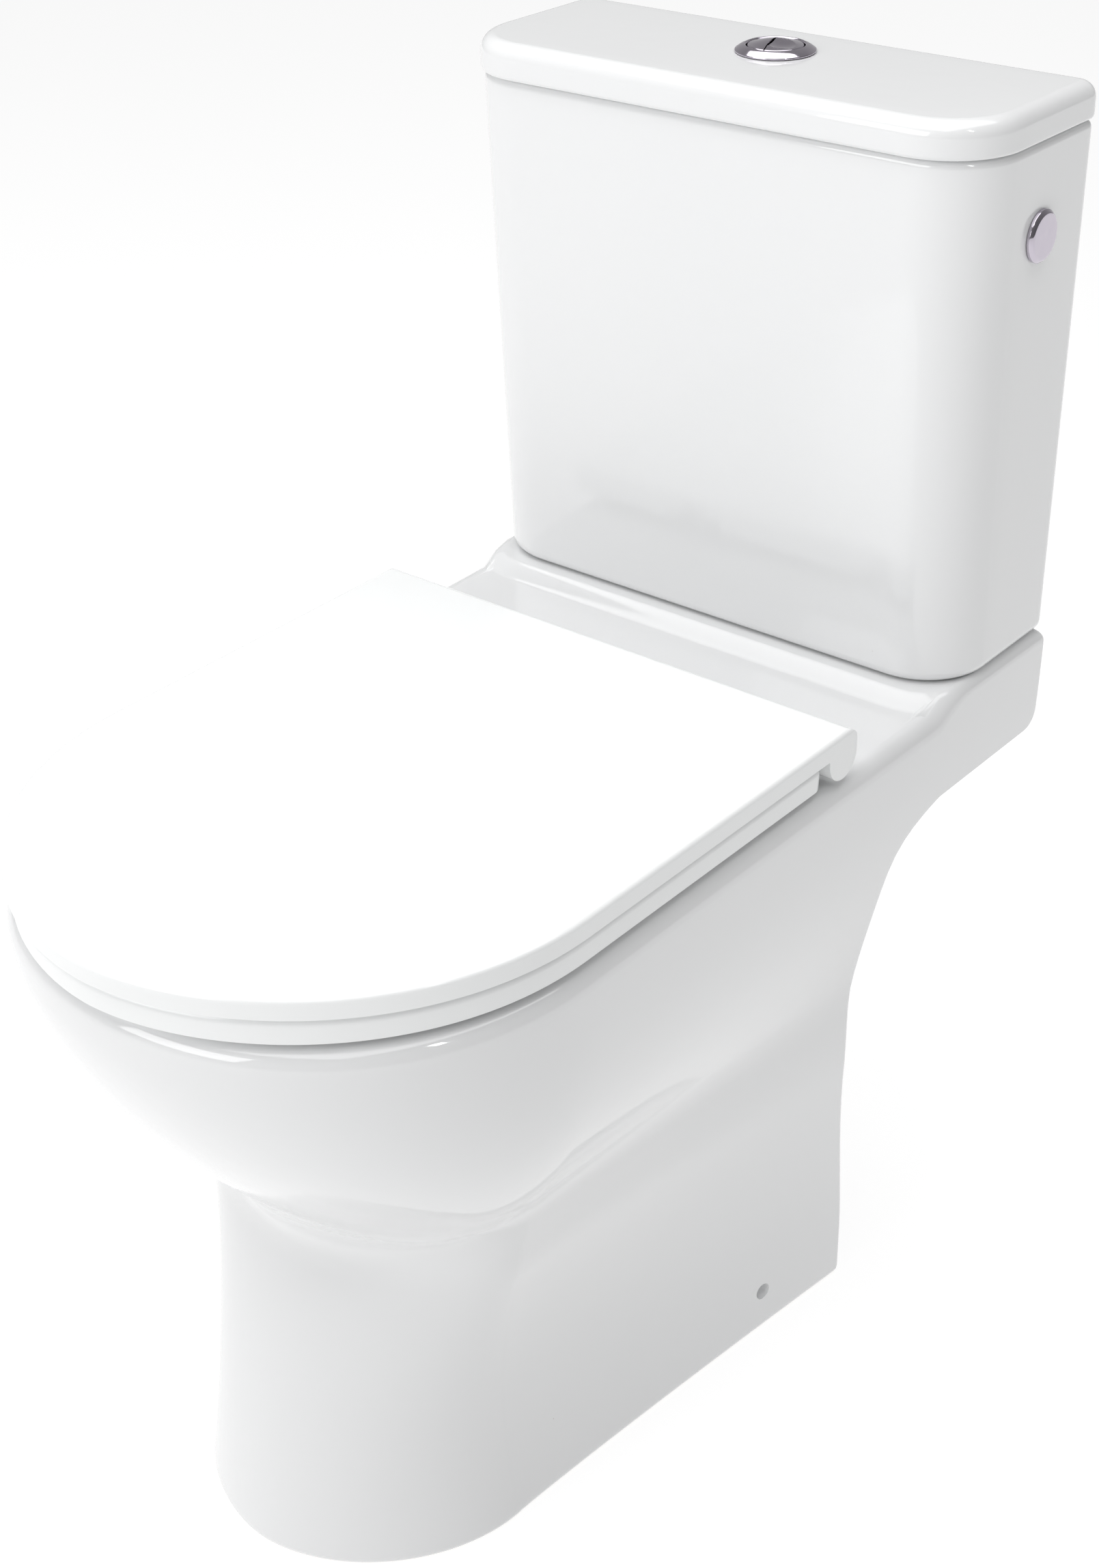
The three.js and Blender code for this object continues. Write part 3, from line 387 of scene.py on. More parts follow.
@dataclass(frozen=True)
class Wire:
    """Socket of a node, so that shader maths reads as sums."""

    recipe: "Recipe"
    socket: bpy.types.NodeSocket

    def _with(self, operation: str, *values: Plug) -> "Wire":
        """A Math node of that operation on the values."""
        inputs = dict(enumerate(values))
        return self.recipe.node("ShaderNodeMath", {"operation": operation}, inputs).out()

    def __add__(self, other: Plug) -> "Wire":
        """Sum."""
        return self._with("ADD", self, other)

    __radd__ = __add__

    def __sub__(self, other: Plug) -> "Wire":
        """Difference."""
        return self._with("SUBTRACT", self, other)

    def __rsub__(self, other: Plug) -> "Wire":
        """Difference from a number."""
        return self._with("SUBTRACT", other, self)

    def __mul__(self, other: Plug) -> "Wire":
        """Product."""
        return self._with("MULTIPLY", self, other)

    __rmul__ = __mul__

    def __truediv__(self, other: Plug) -> "Wire":
        """Quotient."""
        return self._with("DIVIDE", self, other)

    def __pow__(self, other: Plug) -> "Wire":
        """Power."""
        return self._with("POWER", self, other)

    def held(self) -> "Wire":
        """The value held between 0 and 1."""
        made = self.recipe.node("ShaderNodeMath", {"operation": "ADD", "use_clamp": True},
                                {0: self, 1: 0.0})
        return made.out()


@dataclass(frozen=True)
class Made:
    """A node just made."""

    recipe: "Recipe"
    node: bpy.types.Node

    def out(self, name: Union[str, int] = 0) -> Wire:
        """The node's output of that name or number."""
        return Wire(self.recipe, self.node.outputs[name])


class Recipe:
    """Node tree of one material or of the world."""

    def __init__(self, tree: bpy.types.NodeTree) -> None:
        """Starts from an empty tree."""
        self.tree = tree
        tree.nodes.clear()

    def node(self, kind: str, settings: Optional[dict[str, Any]] = None,
             inputs: Optional[dict[Union[str, int], Plug]] = None) -> Made:
        """Adds a node.

        Args:
            kind: Blender's name of the node type.
            settings: attributes set first, such as a Math node's operation.
            inputs: values or wires by socket name or number.

        Returns:
            The node.
        """
        made = self.tree.nodes.new(kind)
        for name, value in (settings or {}).items():
            if name == "stops":
                self._ramp(made.color_ramp, value)
            else:
                setattr(made, name, value)
        for name, value in (inputs or {}).items():
            if isinstance(value, Wire):
                self.tree.links.new(value.socket, made.inputs[name])
            else:
                made.inputs[name].default_value = value
        return Made(self, made)

    @staticmethod
    def _ramp(ramp: bpy.types.ColorRamp, stops: Sequence[tuple[float, Sequence[float]]]) -> None:
        """Sets a ramp's stops from (place, colour) pairs."""
        while len(ramp.elements) < len(stops):
            ramp.elements.new(1.0)
        for element, (place, colour) in zip(ramp.elements, stops):
            element.position = place
            element.color = colour

    def place(self) -> Wire:
        """Object coordinates."""
        return self.node("ShaderNodeTexCoord").out("Object")

    def axis(self, name: str) -> Wire:
        """One number of the object coordinates, in metres."""
        return self.node("ShaderNodeSeparateXYZ", {}, {0: self.place()}).out(name)

    def noise(self, scale: float, detail: float = 2.0, rough: float = 0.5) -> Wire:
        """Smooth noise on object coordinates, with scale in features to the metre."""
        inputs = {"Vector": self.place(), "Scale": scale, "Detail": detail, "Roughness": rough}
        return self.node("ShaderNodeTexNoise", {}, inputs).out(0)

    def stretched(self, scale: float, stretch: Sequence[float], detail: float = 2.0) -> Wire:
        """Noise drawn out along an axis, as brushing is."""
        vector = self.node("ShaderNodeMapping", {}, {"Vector": self.place(), "Scale": stretch}).out()
        return self.node("ShaderNodeTexNoise", {}, {"Vector": vector, "Scale": scale,
                                                    "Detail": detail}).out(0)

    def mix(self, share: Plug, first: Plug, second: Plug) -> Wire:
        """Colour mixed from first to second by a share."""
        inputs = {0: share, 6: first, 7: second}
        return self.node("ShaderNodeMix", {"data_type": "RGBA"}, inputs).out(2)

    def bump(self, height: Wire, distance: float, strength: float) -> Wire:
        """Normal bent by a height of 0 to 1 that stands for distance in metres."""
        inputs = {"Height": height, "Distance": distance, "Strength": strength}
        return self.node("ShaderNodeBump", {}, inputs).out()

    def shade(self, **inputs: Plug) -> None:
        """Ends the tree in a Principled shader; underscores in names stand for spaces."""
        named = {name.replace("_", " "): value for name, value in inputs.items()}
        shader = self.node("ShaderNodeBsdfPrincipled", {}, named)
        self.node("ShaderNodeOutputMaterial", {}, {"Surface": shader.out()})


Colour = tuple[float, float, float, float]


def grey(value: float, warm: float = 0.0) -> Colour:
    """A grey, warmed or cooled a little."""
    return (value + warm, value, value - warm, 1.0)


@dataclass(frozen=True)
class Finish:
    """A material named for what it is made of, and the slot name it stands for."""

    name: str
    slot: str

    def material(self) -> bpy.types.Material:
        """The material, made once."""
        known = bpy.data.materials.get(self.name)
        if known:
            return known
        made = bpy.data.materials.new(self.name)
        made.use_nodes = True
        self.mixed(Recipe(made.node_tree))
        return made

    def mixed(self, recipe: Recipe) -> None:
        """Builds the node tree."""
        raise NotImplementedError


@dataclass(frozen=True)
class Glaze(Finish):
    """White vitreous china: a thick clear glaze with a faint pull in it, bare clay where wiped.

    Fields:
        wiped_below: height in metres under which the clay is bare.
        thin: share of the glaze that is thin and dull, as inside a casting.
    """

    wiped_below: float = -1.0
    thin: float = 0.0

    def mixed(self, recipe: Recipe) -> None:
        """Glaze colour and gloss, mixed to bare clay where it is wiped."""
        cloud = recipe.noise(3.0, 3.0)
        pull = recipe.noise(26.0, 2.0)
        peel = recipe.noise(420.0, 2.0)
        grain = recipe.noise(1500.0, 3.0)
        bare = (1 - (recipe.axis("Z") - self.wiped_below) / 0.0012).held()
        glazed = recipe.mix(cloud, grey(0.800 - 0.06 * self.thin, -0.006), grey(0.835, -0.003))
        cells = recipe.node("ShaderNodeTexVoronoi", {}, {"Vector": recipe.place(), "Scale": 17.0,
                                                         "Randomness": 1.0}).out("Distance")
        speck = (1 - cells / 0.011).held() * 0.5
        clay = recipe.mix(grain, (0.62, 0.57, 0.49, 1), (0.72, 0.67, 0.59, 1))
        colour = recipe.mix(bare, recipe.mix(speck, glazed, (0.30, 0.24, 0.17, 1)), clay)
        gloss = 0.055 + 0.035 * cloud + 0.32 * self.thin
        roughness = gloss * (1 - bare) + 0.74 * bare
        height = pull * 0.6 + peel * 0.05 + grain * bare * 0.4
        recipe.shade(Base_Color=colour, Roughness=roughness, IOR=1.52, Coat_Roughness=0.03,
                     Coat_Weight=(1 - bare) * (0.5 * (1 - self.thin)),
                     Normal=recipe.bump(height, 0.0005, 0.35))


@dataclass(frozen=True)
class Moulded(Finish):
    """Moulded plastic or rubber: a colour that drifts a little, gloss and a fine surface."""

    colour: Colour = (0.9, 0.9, 0.9, 1.0)
    roughness: float = 0.3
    texture: float = 0.0001
    fineness: float = 900.0
    coat: float = 0.0

    def mixed(self, recipe: Recipe) -> None:
        """Even colour with slight clouding, and a fine moulded surface."""
        cloud = recipe.noise(9.0, 3.0)
        fine = recipe.noise(self.fineness, 3.0)
        flow = recipe.noise(30.0, 1.0)
        shade = tuple(0.94 * value for value in self.colour[:3]) + (1.0,)
        recipe.shade(Base_Color=recipe.mix(cloud, shade, self.colour),
                     Roughness=self.roughness * (0.85 + 0.2 * fine + 0.12 * cloud),
                     IOR=1.49, Coat_Weight=self.coat, Coat_Roughness=0.06,
                     Normal=recipe.bump(fine * 0.5 + flow, self.texture, 0.4))


@dataclass(frozen=True)
class Metal(Finish):
    """Metal: plated or machined, with smears or brushing along X in its gloss."""

    colour: Colour = (0.7, 0.7, 0.7, 1.0)
    roughness: float = 0.1
    brushed: float = 0.0
    tarnish: Colour = (0.5, 0.5, 0.5, 1.0)

    def mixed(self, recipe: Recipe) -> None:
        """Metal colour with a little tarnish, wipe marks and brushing."""
        wipe = recipe.noise(45.0, 4.0, 0.6)
        lines = recipe.stretched(240.0, (0.12, 1.0, 1.0), 3.0)
        dull = recipe.noise(140.0, 3.0)
        recipe.shade(Base_Color=recipe.mix(dull ** 3.0, self.colour, self.tarnish), Metallic=1.0,
                     Roughness=self.roughness * (0.75 + 0.5 * wipe) + self.brushed * lines,
                     Normal=recipe.bump(lines * self.brushed + wipe * 0.1, 0.00004, 0.4))


GLAZE = Glaze("white_glaze", "glazed_ceramic", wiped_below=0.0006)
RAW_CAST = Glaze("thin_glaze_inside", "glazed_ceramic", wiped_below=0.0006, thin=1.0)
SEAT = Moulded("white_seat_plastic", "seat_plastic", colour=(0.925, 0.935, 0.935, 1.0), roughness=0.2,
               texture=0.00006, fineness=700.0, coat=0.25)
CHROME = Metal("bright_chrome", "chrome", colour=(0.56, 0.52, 0.59, 1.0), roughness=0.09,
               tarnish=(0.62, 0.58, 0.63, 1.0))
STEEL = Metal("plain_stainless", "steel", colour=(0.62, 0.62, 0.63, 1.0), roughness=0.24, brushed=0.16,
              tarnish=(0.45, 0.44, 0.43, 1.0))
BRASS = Metal("turned_brass", "brass", colour=(0.70, 0.55, 0.28, 1.0), roughness=0.26, brushed=0.14,
              tarnish=(0.38, 0.27, 0.13, 1.0))
BLACK_RUBBER = Moulded("black_rubber", "black_rubber", colour=(0.035, 0.035, 0.038, 1.0), roughness=0.7,
                       texture=0.0002, fineness=1200.0)
WHITE_RUBBER = Moulded("soft_white_rubber", "white_rubber", colour=(0.80, 0.80, 0.78, 1.0),
                       roughness=0.6, texture=0.0002, fineness=1100.0)
WHITE_NYLON = Moulded("white_nylon", "white_nylon", colour=(0.82, 0.83, 0.81, 1.0), roughness=0.4,
                      texture=0.00015)
BLUE_NYLON = Moulded("blue_nylon", "blue_nylon", colour=(0.09, 0.23, 0.46, 1.0), roughness=0.4,
                     texture=0.00015)


# ---------- Workshop ----------


class Piece:
    """A piece under way: a Blender object shaped by joining and cutting surfaces."""

    def __init__(self, name: str, surface: Surface, finish: Finish) -> None:
        """Puts a surface into a new object.

        Args:
            name: the piece's name.
            surface: its first shape, in millimetres.
            finish: its finish.
        """
        self.finish = finish
        self.object = self._object(name, surface, finish)

    @staticmethod
    def _object(name: str, surface: Surface, finish: Finish) -> bpy.types.Object:
        """An object at the origin that holds the surface in metres."""
        mesh = bpy.data.meshes.new(name)
        faces = [face for group in surface.outward().faces for face in group.tolist()]
        mesh.from_pydata((surface.points * MM).tolist(), [], faces)
        mesh.materials.append(finish.material())
        made = bpy.data.objects.new(name, mesh)
        bpy.context.scene.collection.objects.link(made)
        return made

    def _combine(self, operation: str, tools: Sequence[Surface], finish: Optional[Finish]) -> "Piece":
        """Joins, cuts or crosses the piece with surfaces, one after another."""
        helpers = []
        for number, surface in enumerate(tools):
            helper = self._object(f"tool_{number}", surface, finish or self.finish)
            helpers.append(helper)
            step = self.object.modifiers.new(f"step_{number}", "BOOLEAN")
            step.operation = operation
            step.solver = "MANIFOLD"
            step.object = helper
            step.material_mode = "TRANSFER"
        self._settle()
        for helper in helpers:
            bpy.data.objects.remove(helper)
        return self

    def _settle(self) -> None:
        """Turns the object's modifiers into its mesh."""
        graph = bpy.context.evaluated_depsgraph_get()
        graph.update()
        shaped = bpy.data.meshes.new_from_object(self.object.evaluated_get(graph), depsgraph=graph)
        self.object.modifiers.clear()
        self.object.data = shaped

    def join(self, *tools: Surface, finish: Optional[Finish] = None) -> "Piece":
        """The piece with surfaces added."""
        return self._combine("UNION", tools, finish)

    def cut(self, *tools: Surface, finish: Optional[Finish] = None) -> "Piece":
        """The piece with surfaces cut away; the cut faces take the finish."""
        return self._combine("DIFFERENCE", tools, finish)

    def cross(self, *tools: Surface) -> "Piece":
        """What the piece and the surfaces share."""
        return self._combine("INTERSECT", tools, None)

    def surface(self) -> Surface:
        """The present shape, in millimetres, as triangles."""
        mesh = self.object.data
        mesh.calc_loop_triangles()
        points = np.empty(len(mesh.vertices) * 3)
        mesh.vertices.foreach_get("co", points)
        corners = np.empty(len(mesh.loop_triangles) * 3, np.int32)
        mesh.loop_triangles.foreach_get("vertices", corners)
        return Surface(points.reshape(-1, 3) / MM, [corners.reshape(-1, 3)])

    def scrap(self) -> None:
        """Removes a piece that was only a helper."""
        bpy.data.objects.remove(self.object)

    def done(self, body: Body, *nodes: str, even: bool = True) -> bpy.types.Object:
        """Smooths the piece and hands it to the frame.

        Args:
            body: the body it rides on.
            nodes: the frame's nodes that it stands for.
            even: True weighs the normals by face size, for pieces with flat cut faces.

        Returns:
            The finished object.
        """
        mesh = self.object.data
        mesh.polygons.foreach_set("use_smooth", np.ones(len(mesh.polygons), bool))
        mesh.set_sharp_from_angle(angle=SMOOTH_UNDER)
        if even:
            self.object.modifiers.new("even", "WEIGHTED_NORMAL").keep_sharp = True
            self._settle()
        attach(self.object, body.value)
        if nodes:
            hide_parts(*nodes)
        faces = len(self.object.data.polygons)
        log.info("%s: %d faces, rides on %s", self.object.name, faces, body.value)
        return self.object


def coat_nodes(finish: Finish, *names: str) -> None:
    """Gives a finish to nodes of the frame whose shapes are kept."""
    for name in names:
        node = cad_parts[name]
        for place in node.material_slots:
            place.material = finish.material()
        if not node.material_slots:
            node.data.materials.append(finish.material())
        log.info("%s: kept, finished in %s", name, finish.name)


# ---------- Pan ----------


@dataclass
class Pan:
    """Ceramic pan: pedestal, bowl, deck and the raised ledge that the cistern stands on."""

    rim: float = 446.0
    ledge_rise: float = 9.0
    ledge_line: float = 140.5
    ledge_slope: float = 12.5
    ledge_corner: float = 48.0
    width: float = 362.0
    platform_width: float = 374.0
    bowl_centre: float = 466.0
    rim_reach: float = 182.0
    bowl_drop: float = 241.0
    rim_band: float = 19.0
    foot_widths: tuple[float, float] = (233.0, 305.0)
    neck_width: float = 212.0
    knee_width: float = 247.0
    reaches: tuple[float, float, float] = (115.0, 97.0, 62.0)
    knee: float = 210.0
    foot_back: float = 157.0
    pedestal_back: float = 185.0
    cove: float = 255.0
    platform_base: float = 385.0
    edge: float = 12.0
    ledge_edge: float = 8.0
    wall: float = 12.0
    deck: float = 17.0
    opening_width: float = 250.0
    opening: tuple[float, float] = (292.0, 603.0)
    mouth: float = 9.0
    lip: float = 8.0
    channel: float = 24.0
    lip_drop: float = 44.0
    sump: float = 90.0
    sump_radius: float = 36.0
    sump_centre: float = 412.0
    outlet: float = 180.0
    outlet_radius: float = 51.0
    outlet_bore: float = 43.0
    valve_back: float = 72.0
    bolt_spacing: float = 152.0
    bolt_back: float = 46.0
    hinge_spacing: float = 156.0
    hinge_back: float = 234.0
    floor_hole: tuple[float, float, float] = (6.0, 238.0, 31.0)
    blend: float = 48.0
    blend_at_side: float = 0.1
    trap_radii: tuple[float, float] = (46.0, 36.0)
    duct_radii: tuple[float, float] = (35.0, 26.0)
    steps: tuple[int, int, int, int] = (60, 34, 7, 16)

    def section(self, z: Array) -> tuple[Array, Array, Array, Array]:
        """Half widths and front reaches of the bowl and of the pedestal at heights.

        The bowl's underside falls off as 1 - depth^n; the pedestal is a quadratic through foot,
        neck and knee, and leans out above the knee.

        Args:
            z: heights.

        Returns:
            Bowl reach, bowl half width, pedestal half width, pedestal reach.
        """
        half_rim = self.width / 2
        depth = np.clip((self.rim - self.rim_band - z) / self.bowl_drop, 0, 0.9999)
        bowl_reach = np.maximum(self.rim_reach * (1 - depth**1.5) ** (1 / 1.2), 15)
        bowl_half = np.maximum(half_rim * (1 - depth**2.4) ** (1 / 1.6), 15)
        t = np.minimum(z, self.knee) / (self.knee / 2)
        weights = ((t - 1) * (t - 2) / 2, -t * (t - 2), t * (t - 1) / 2)
        rise = clamped((z - self.knee) / (self.rim - self.knee))
        widths = (self.foot_widths[0], self.neck_width, self.knee_width)
        half = sum(w * value for w, value in zip(weights, widths)) / 2
        half = half + (half_rim - 3 - self.knee_width / 2) * rise**1.1
        reach = sum(w * value for w, value in zip(weights, self.reaches)) + 6 * rise
        return bowl_reach, bowl_half, half, reach

    def back_at(self, z: Array) -> Array:
        """Distance of the pedestal's back from the wall: nearly upright, then a cove."""
        rise = smooth_step(40, self.cove, z)
        lower = self.foot_back + (self.pedestal_back - self.foot_back) * rise
        s = clamped((z - self.cove) / (self.platform_base - self.cove))
        return np.where(z <= self.cove, lower, self.pedestal_back - 24 * s**1.6 - 45 * s**12)

    def outline(self, z: Array, back: Array, inset: Array) -> Array:
        """Outlines of the pan: a superellipse front, easing sides, round back corners.

        The front is the greater of the bowl's and the pedestal's radius, rounded more in front
        than at the sides. Each side eases out as share^1.15 of its way to even_back, which goes
        from the pedestal's back to the wall with height.

        Args:
            z: heights (rows,).
            back: distances of the back from the wall (rows,).
            inset: how far each outline is drawn in; (rows,) or (rows, 1).

        Returns:
            Points (rows, columns, 2), anticlockwise from the front.
        """
        front_steps, side_steps, corner_steps, back_steps = self.steps
        z, back = np.asarray(z, float)[:, None], np.asarray(back, float)[:, None]
        inset = np.asarray(inset, float).reshape(len(z), -1)
        corner = 6.0
        bowl_reach, bowl_half, half, reach = self.section(z)
        turn = np.linspace(-math.pi / 2, 0, front_steps + 1)[None]
        blend = self.blend * (1 - smooth_step(self.rim - 105, self.rim - 30, z)) + 0.01
        blend = blend * (self.blend_at_side + (1 - self.blend_at_side) * np.sin(turn) ** 2)
        radius = blended(super_radius(turn, bowl_half, bowl_reach, 2.12),
                         super_radius(turn, half, reach, 1.85), blend) - inset
        middle = from_wall(self.bowl_centre)
        front = np.stack([radius * np.cos(turn), middle + radius * np.sin(turn)], -1)
        front[:, 0, 0] = 0
        side = radius[:, -1:]
        spread = (self.platform_width - self.foot_widths[1]) / 2
        end = self.foot_widths[1] / 2 + spread * smooth_step(60, self.rim - 6, z) - inset
        end = np.maximum(end, 20)
        length = self.bowl_centre - back - inset - corner
        low_back = self.back_at(np.minimum(z, self.cove))
        even_back = 1 + (low_back - 1) * (1 - smooth_step(200, self.rim - 26, z))
        share = length / (self.bowl_centre - even_back - inset - corner)
        t = np.linspace(0, 1, side_steps + 1)[None, 1:]
        sides = np.stack([side + (end - side) * (share * t)**1.15, middle + length * t], -1)
        end = sides[:, -1:, 0]
        rise, run = arc(corner_steps)
        corner_y = from_wall(back + inset + corner)
        corners = np.stack([end - corner * run[None, 1:], corner_y + corner * rise[None, 1:]], -1)
        t = np.linspace(1, 0, back_steps + 1)[None, 1:]
        across = (end - corner) * t
        backs = np.stack([across, np.broadcast_to(from_wall(back + inset), across.shape)], -1)
        return mirrored(np.concatenate([front, sides, corners, backs], axis=1))

    def ledge_share(self, points: Array) -> Array:
        """Share of the ledge's rise at points: a smooth slope along a round-cornered line.

        Args:
            points: X, Y of the points (..., 2).

        Returns:
            0 on the deck, 1 on the ledge.
        """
        half = self.platform_width / 2 + self.ledge_slope
        a = np.abs(points[..., 0]) - (half - self.ledge_corner)
        b = from_wall(self.ledge_line) + self.ledge_corner - points[..., 1]
        outside = np.hypot(np.maximum(a, 0), np.maximum(b, 0))
        distance = np.minimum(np.maximum(a, b), 0) + outside - self.ledge_corner
        return smooth_step(0, self.ledge_slope, -distance)

    def side_rows(self) -> Array:
        """Rows from the foot up the sides to where the top edge starts to round."""
        foot = [(0.0, 4.0), (0.5, 2.2), (1.5, 1.0), (3.0, 0.3), (5.0, 0.0)]
        shares = np.array([0, .1, .2, .32, .44, .56, .66, .75, .83, .89, .93, .96, .98, 1])
        low = np.concatenate([np.linspace(12, self.cove - 5, 24),
                              self.cove + (self.platform_base - self.cove) * shares])
        z = np.concatenate([[f[0] for f in foot], low])
        inset = np.concatenate([[f[1] for f in foot], np.zeros(len(low))])
        lower = raised(self.outline(z, self.back_at(z), inset), z[:, None])
        start = float(self.back_at(np.array([self.platform_base]))[0])
        under = np.linspace(0, 1, 9)[1:]
        rise, run = arc(7)
        z = np.concatenate([self.platform_base + under, self.platform_base + 1 + 11 * run[1:],
                            np.linspace(self.platform_base + 16, self.rim - self.edge, 8)])
        back = np.concatenate([start + (12 - start) * under, 12 - 11 * rise[1:], np.full(8, 1.0)])
        outlines = self.outline(z, back, np.zeros(len(z)))
        share = self.ledge_share(outlines)
        lift = smooth_step(self.platform_base + 15, self.rim - self.edge, z)[:, None]
        rise = (self.ledge_rise + self.edge - self.ledge_edge) * share
        upper = raised(outlines, z[:, None] + lift * rise)
        return np.concatenate([lower, upper])

    def edge_rows(self) -> Array:
        """Rows round the top edge, its radius easing from the deck to the ledge."""
        rise, run = arc(10)
        level = np.full(11, self.rim)
        backs = np.ones(11)
        first = self.outline(level, backs, np.zeros(11))
        share = self.ledge_share(first)[0]
        radius = self.edge + (self.ledge_edge - self.edge) * share
        middle = self.outline(level, backs, self.edge * run)
        tight = self.outline(level, backs, self.ledge_edge * run)
        outlines = middle + (tight - middle) * share[None, :, None]
        top = self.rim + self.ledge_rise * self.ledge_share(outlines[-1:])[0]
        first_top = self.rim + self.ledge_rise * share
        top = first_top + (top - first_top) * run[:, None]
        return raised(outlines, top - radius * (1 - rise[:, None]))[1:]

    def opening_outline(self, turn: Array, grow: Number) -> Array:
        """Outline of the bowl's opening in given directions, grown by an amount."""
        back, front = self.opening
        return self.oval(turn, self.opening_width / 2 + grow, front + grow, back - grow,
                         (front + back) / 2 + 0 * np.asarray(grow))

    @staticmethod
    def oval(turn: Array, half: Number, front: Number, back: Number, centre: Number) -> Array:
        """Superellipse round a centre, with its own reach to the front and to the back.

        Args:
            turn: directions in radians (columns,).
            half: half width.
            front: distance of its front from the wall.
            back: distance of its back from the wall.
            centre: distance of its centre from the wall.

        Returns:
            Points (rows, columns, 2) for column numbers (rows, 1), or (columns, 2) for plain ones.
        """
        reach = np.where(np.sin(turn) < 0, front - centre, centre - back)
        radius = super_radius(turn, half, reach, 2.15)
        return np.stack([radius * np.cos(turn), from_wall(centre) + radius * np.sin(turn)], -1)

    def top_rows(self, rim_row: Array, turn: Array) -> Array:
        """Rows over the deck and ledge, from the top edge in to the bowl's mouth.

        Each column is a straight line from the mouth out to the edge; rows are crowded where it
        climbs the ledge.

        Args:
            rim_row: the last row of the top edge (columns, 3).
            turn: direction of each column from the opening's centre.

        Returns:
            The rows, outermost first.
        """
        inner = self.opening_outline(turn, self.mouth)
        outer = rim_row[:, :2]
        probe = np.linspace(0, 1, 700)[:, None]
        share = self.ledge_share(inner[None] + (outer - inner)[None] * probe[..., None])
        length = np.linalg.norm(outer - inner, axis=1)
        starts = np.where((share > 0.0).any(0), probe[np.argmax(share > 0.0, 0), 0], 1)
        ends = np.where((share > 0.999).any(0), probe[np.argmax(share > 0.999, 0), 0], 1)
        starts = np.minimum(starts, 1 - 6 / length)
        ends = np.clip(ends, starts + 2 / length, 1 - 3 / length)
        deck = np.linspace(0, 1, 26, endpoint=False)[:, None] * starts
        slope = starts + np.linspace(0, 1, 16, endpoint=False)[:, None] * (ends - starts)
        shelf = ends + np.linspace(0, 1, 16, endpoint=False)[:, None] * (1 - ends)
        along = np.concatenate([deck, slope, shelf])[::-1]
        outlines = inner[None] + (outer - inner)[None] * along[..., None]
        return raised(outlines, self.rim + self.ledge_rise * self.ledge_share(outlines))

    def bowl_rows(self, turn: Array) -> Array:
        """Rows from the mouth down its lip, up into the rim channel and down the bowl to the sump."""
        rise, run = arc(8)
        half_rise, half_run = arc(4)
        low = self.rim - self.lip_drop
        roof = self.rim - self.deck
        r = self.lip / 2
        grow = np.concatenate([
            self.mouth * (1 - rise[1:]), np.zeros(5), r * half_run, r + r * half_rise[1:],
            [self.lip, self.lip], [self.lip + 4, self.channel - 4, self.channel, self.channel]])
        z = np.concatenate([
            self.rim - self.mouth * run[1:], np.linspace(self.rim - self.mouth - 4, low + r + 1, 5),
            low + r - r * half_rise, low + r * half_run[1:],
            [low + r + 8, roof - 4], [roof, roof, roof - 4, low - 4]])
        mouth = raised(self.opening_outline(turn[None], grow[:, None]), z[:, None])
        return np.concatenate([mouth, self.basin_rows(turn, 0.0, 40)])

    def basin_rows(self, turn: Array, grow: float, count: int) -> Array:
        """Rows down the basin: its half width and reaches shrink by (1 - depth^1.1)^1.15.

        Args:
            turn: directions (columns,).
            grow: how far outside the inner surface.
            count: rows.

        Returns:
            The rows, top first.
        """
        top = self.rim - self.lip_drop - 6
        back, front = self.opening
        middle = (front + back) / 2
        depth = np.linspace(0, 1, count)[:, None] ** 0.9
        share = (1 - depth**1.1) ** 1.15
        half = self.sump_radius + (self.opening_width / 2 + 16 - self.sump_radius) * share + grow
        centre = middle + (self.sump_centre - middle) * depth
        front_reach = self.sump_radius + (front + 8 - middle - self.sump_radius) * share + grow
        back_reach = self.sump_radius + (middle - back - self.sump_radius) * share + grow
        rows = raised(self.oval(turn[None], half, centre + front_reach, centre - back_reach, centre),
                      self.sump + (top - self.sump) * (1 - depth))
        rise, run = arc(5)
        small = (self.sump_radius + grow) * (1 - 0.9 * run[1:, None])
        end = raised(self.oval(turn[None], small, self.sump_centre + small, self.sump_centre - small,
                               np.full_like(small, self.sump_centre)),
                     self.sump - (6 + grow / 2) * rise[1:, None])
        return np.concatenate([rows, end])

    def skin(self) -> Surface:
        """Whole outer skin with the bowl sunk in it: foot, sides, top edge, top, mouth and bowl."""
        sides = self.side_rows()
        edge = self.edge_rows()
        centre = from_wall(sum(self.opening) / 2)
        turn = np.arctan2(edge[-1, :, 1] - centre, edge[-1, :, 0])
        return lofted(np.concatenate([sides, edge, self.top_rows(edge[-1], turn), self.bowl_rows(turn)]))

    def directions(self) -> Array:
        """Even directions, anticlockwise from the front."""
        return np.linspace(-math.pi / 2, 1.5 * math.pi, 96, endpoint=False)

    def basin_solid(self, grow: float, lift: float) -> Surface:
        """Basin as a solid, grown by a wall, its top carried up by lift."""
        rows = self.basin_rows(self.directions(), grow, 30)
        top = rows[:1] + np.array([0, 0, lift])
        return lofted(np.concatenate([top, rows])[::-1])

    def trap_path(self) -> Array:
        """Path of the trap from the sump over the weir and down to the outlet."""
        stations = [(self.sump_centre + 8, self.sump + 42), (self.sump_centre - 32, self.sump + 30),
                    (345, self.sump + 52), (312, 210), (270, 248), (228, 222),
                    (205, self.outlet + 8), (190, self.outlet)]
        return spline([(0, from_wall(d), z) for d, z in stations], 10)

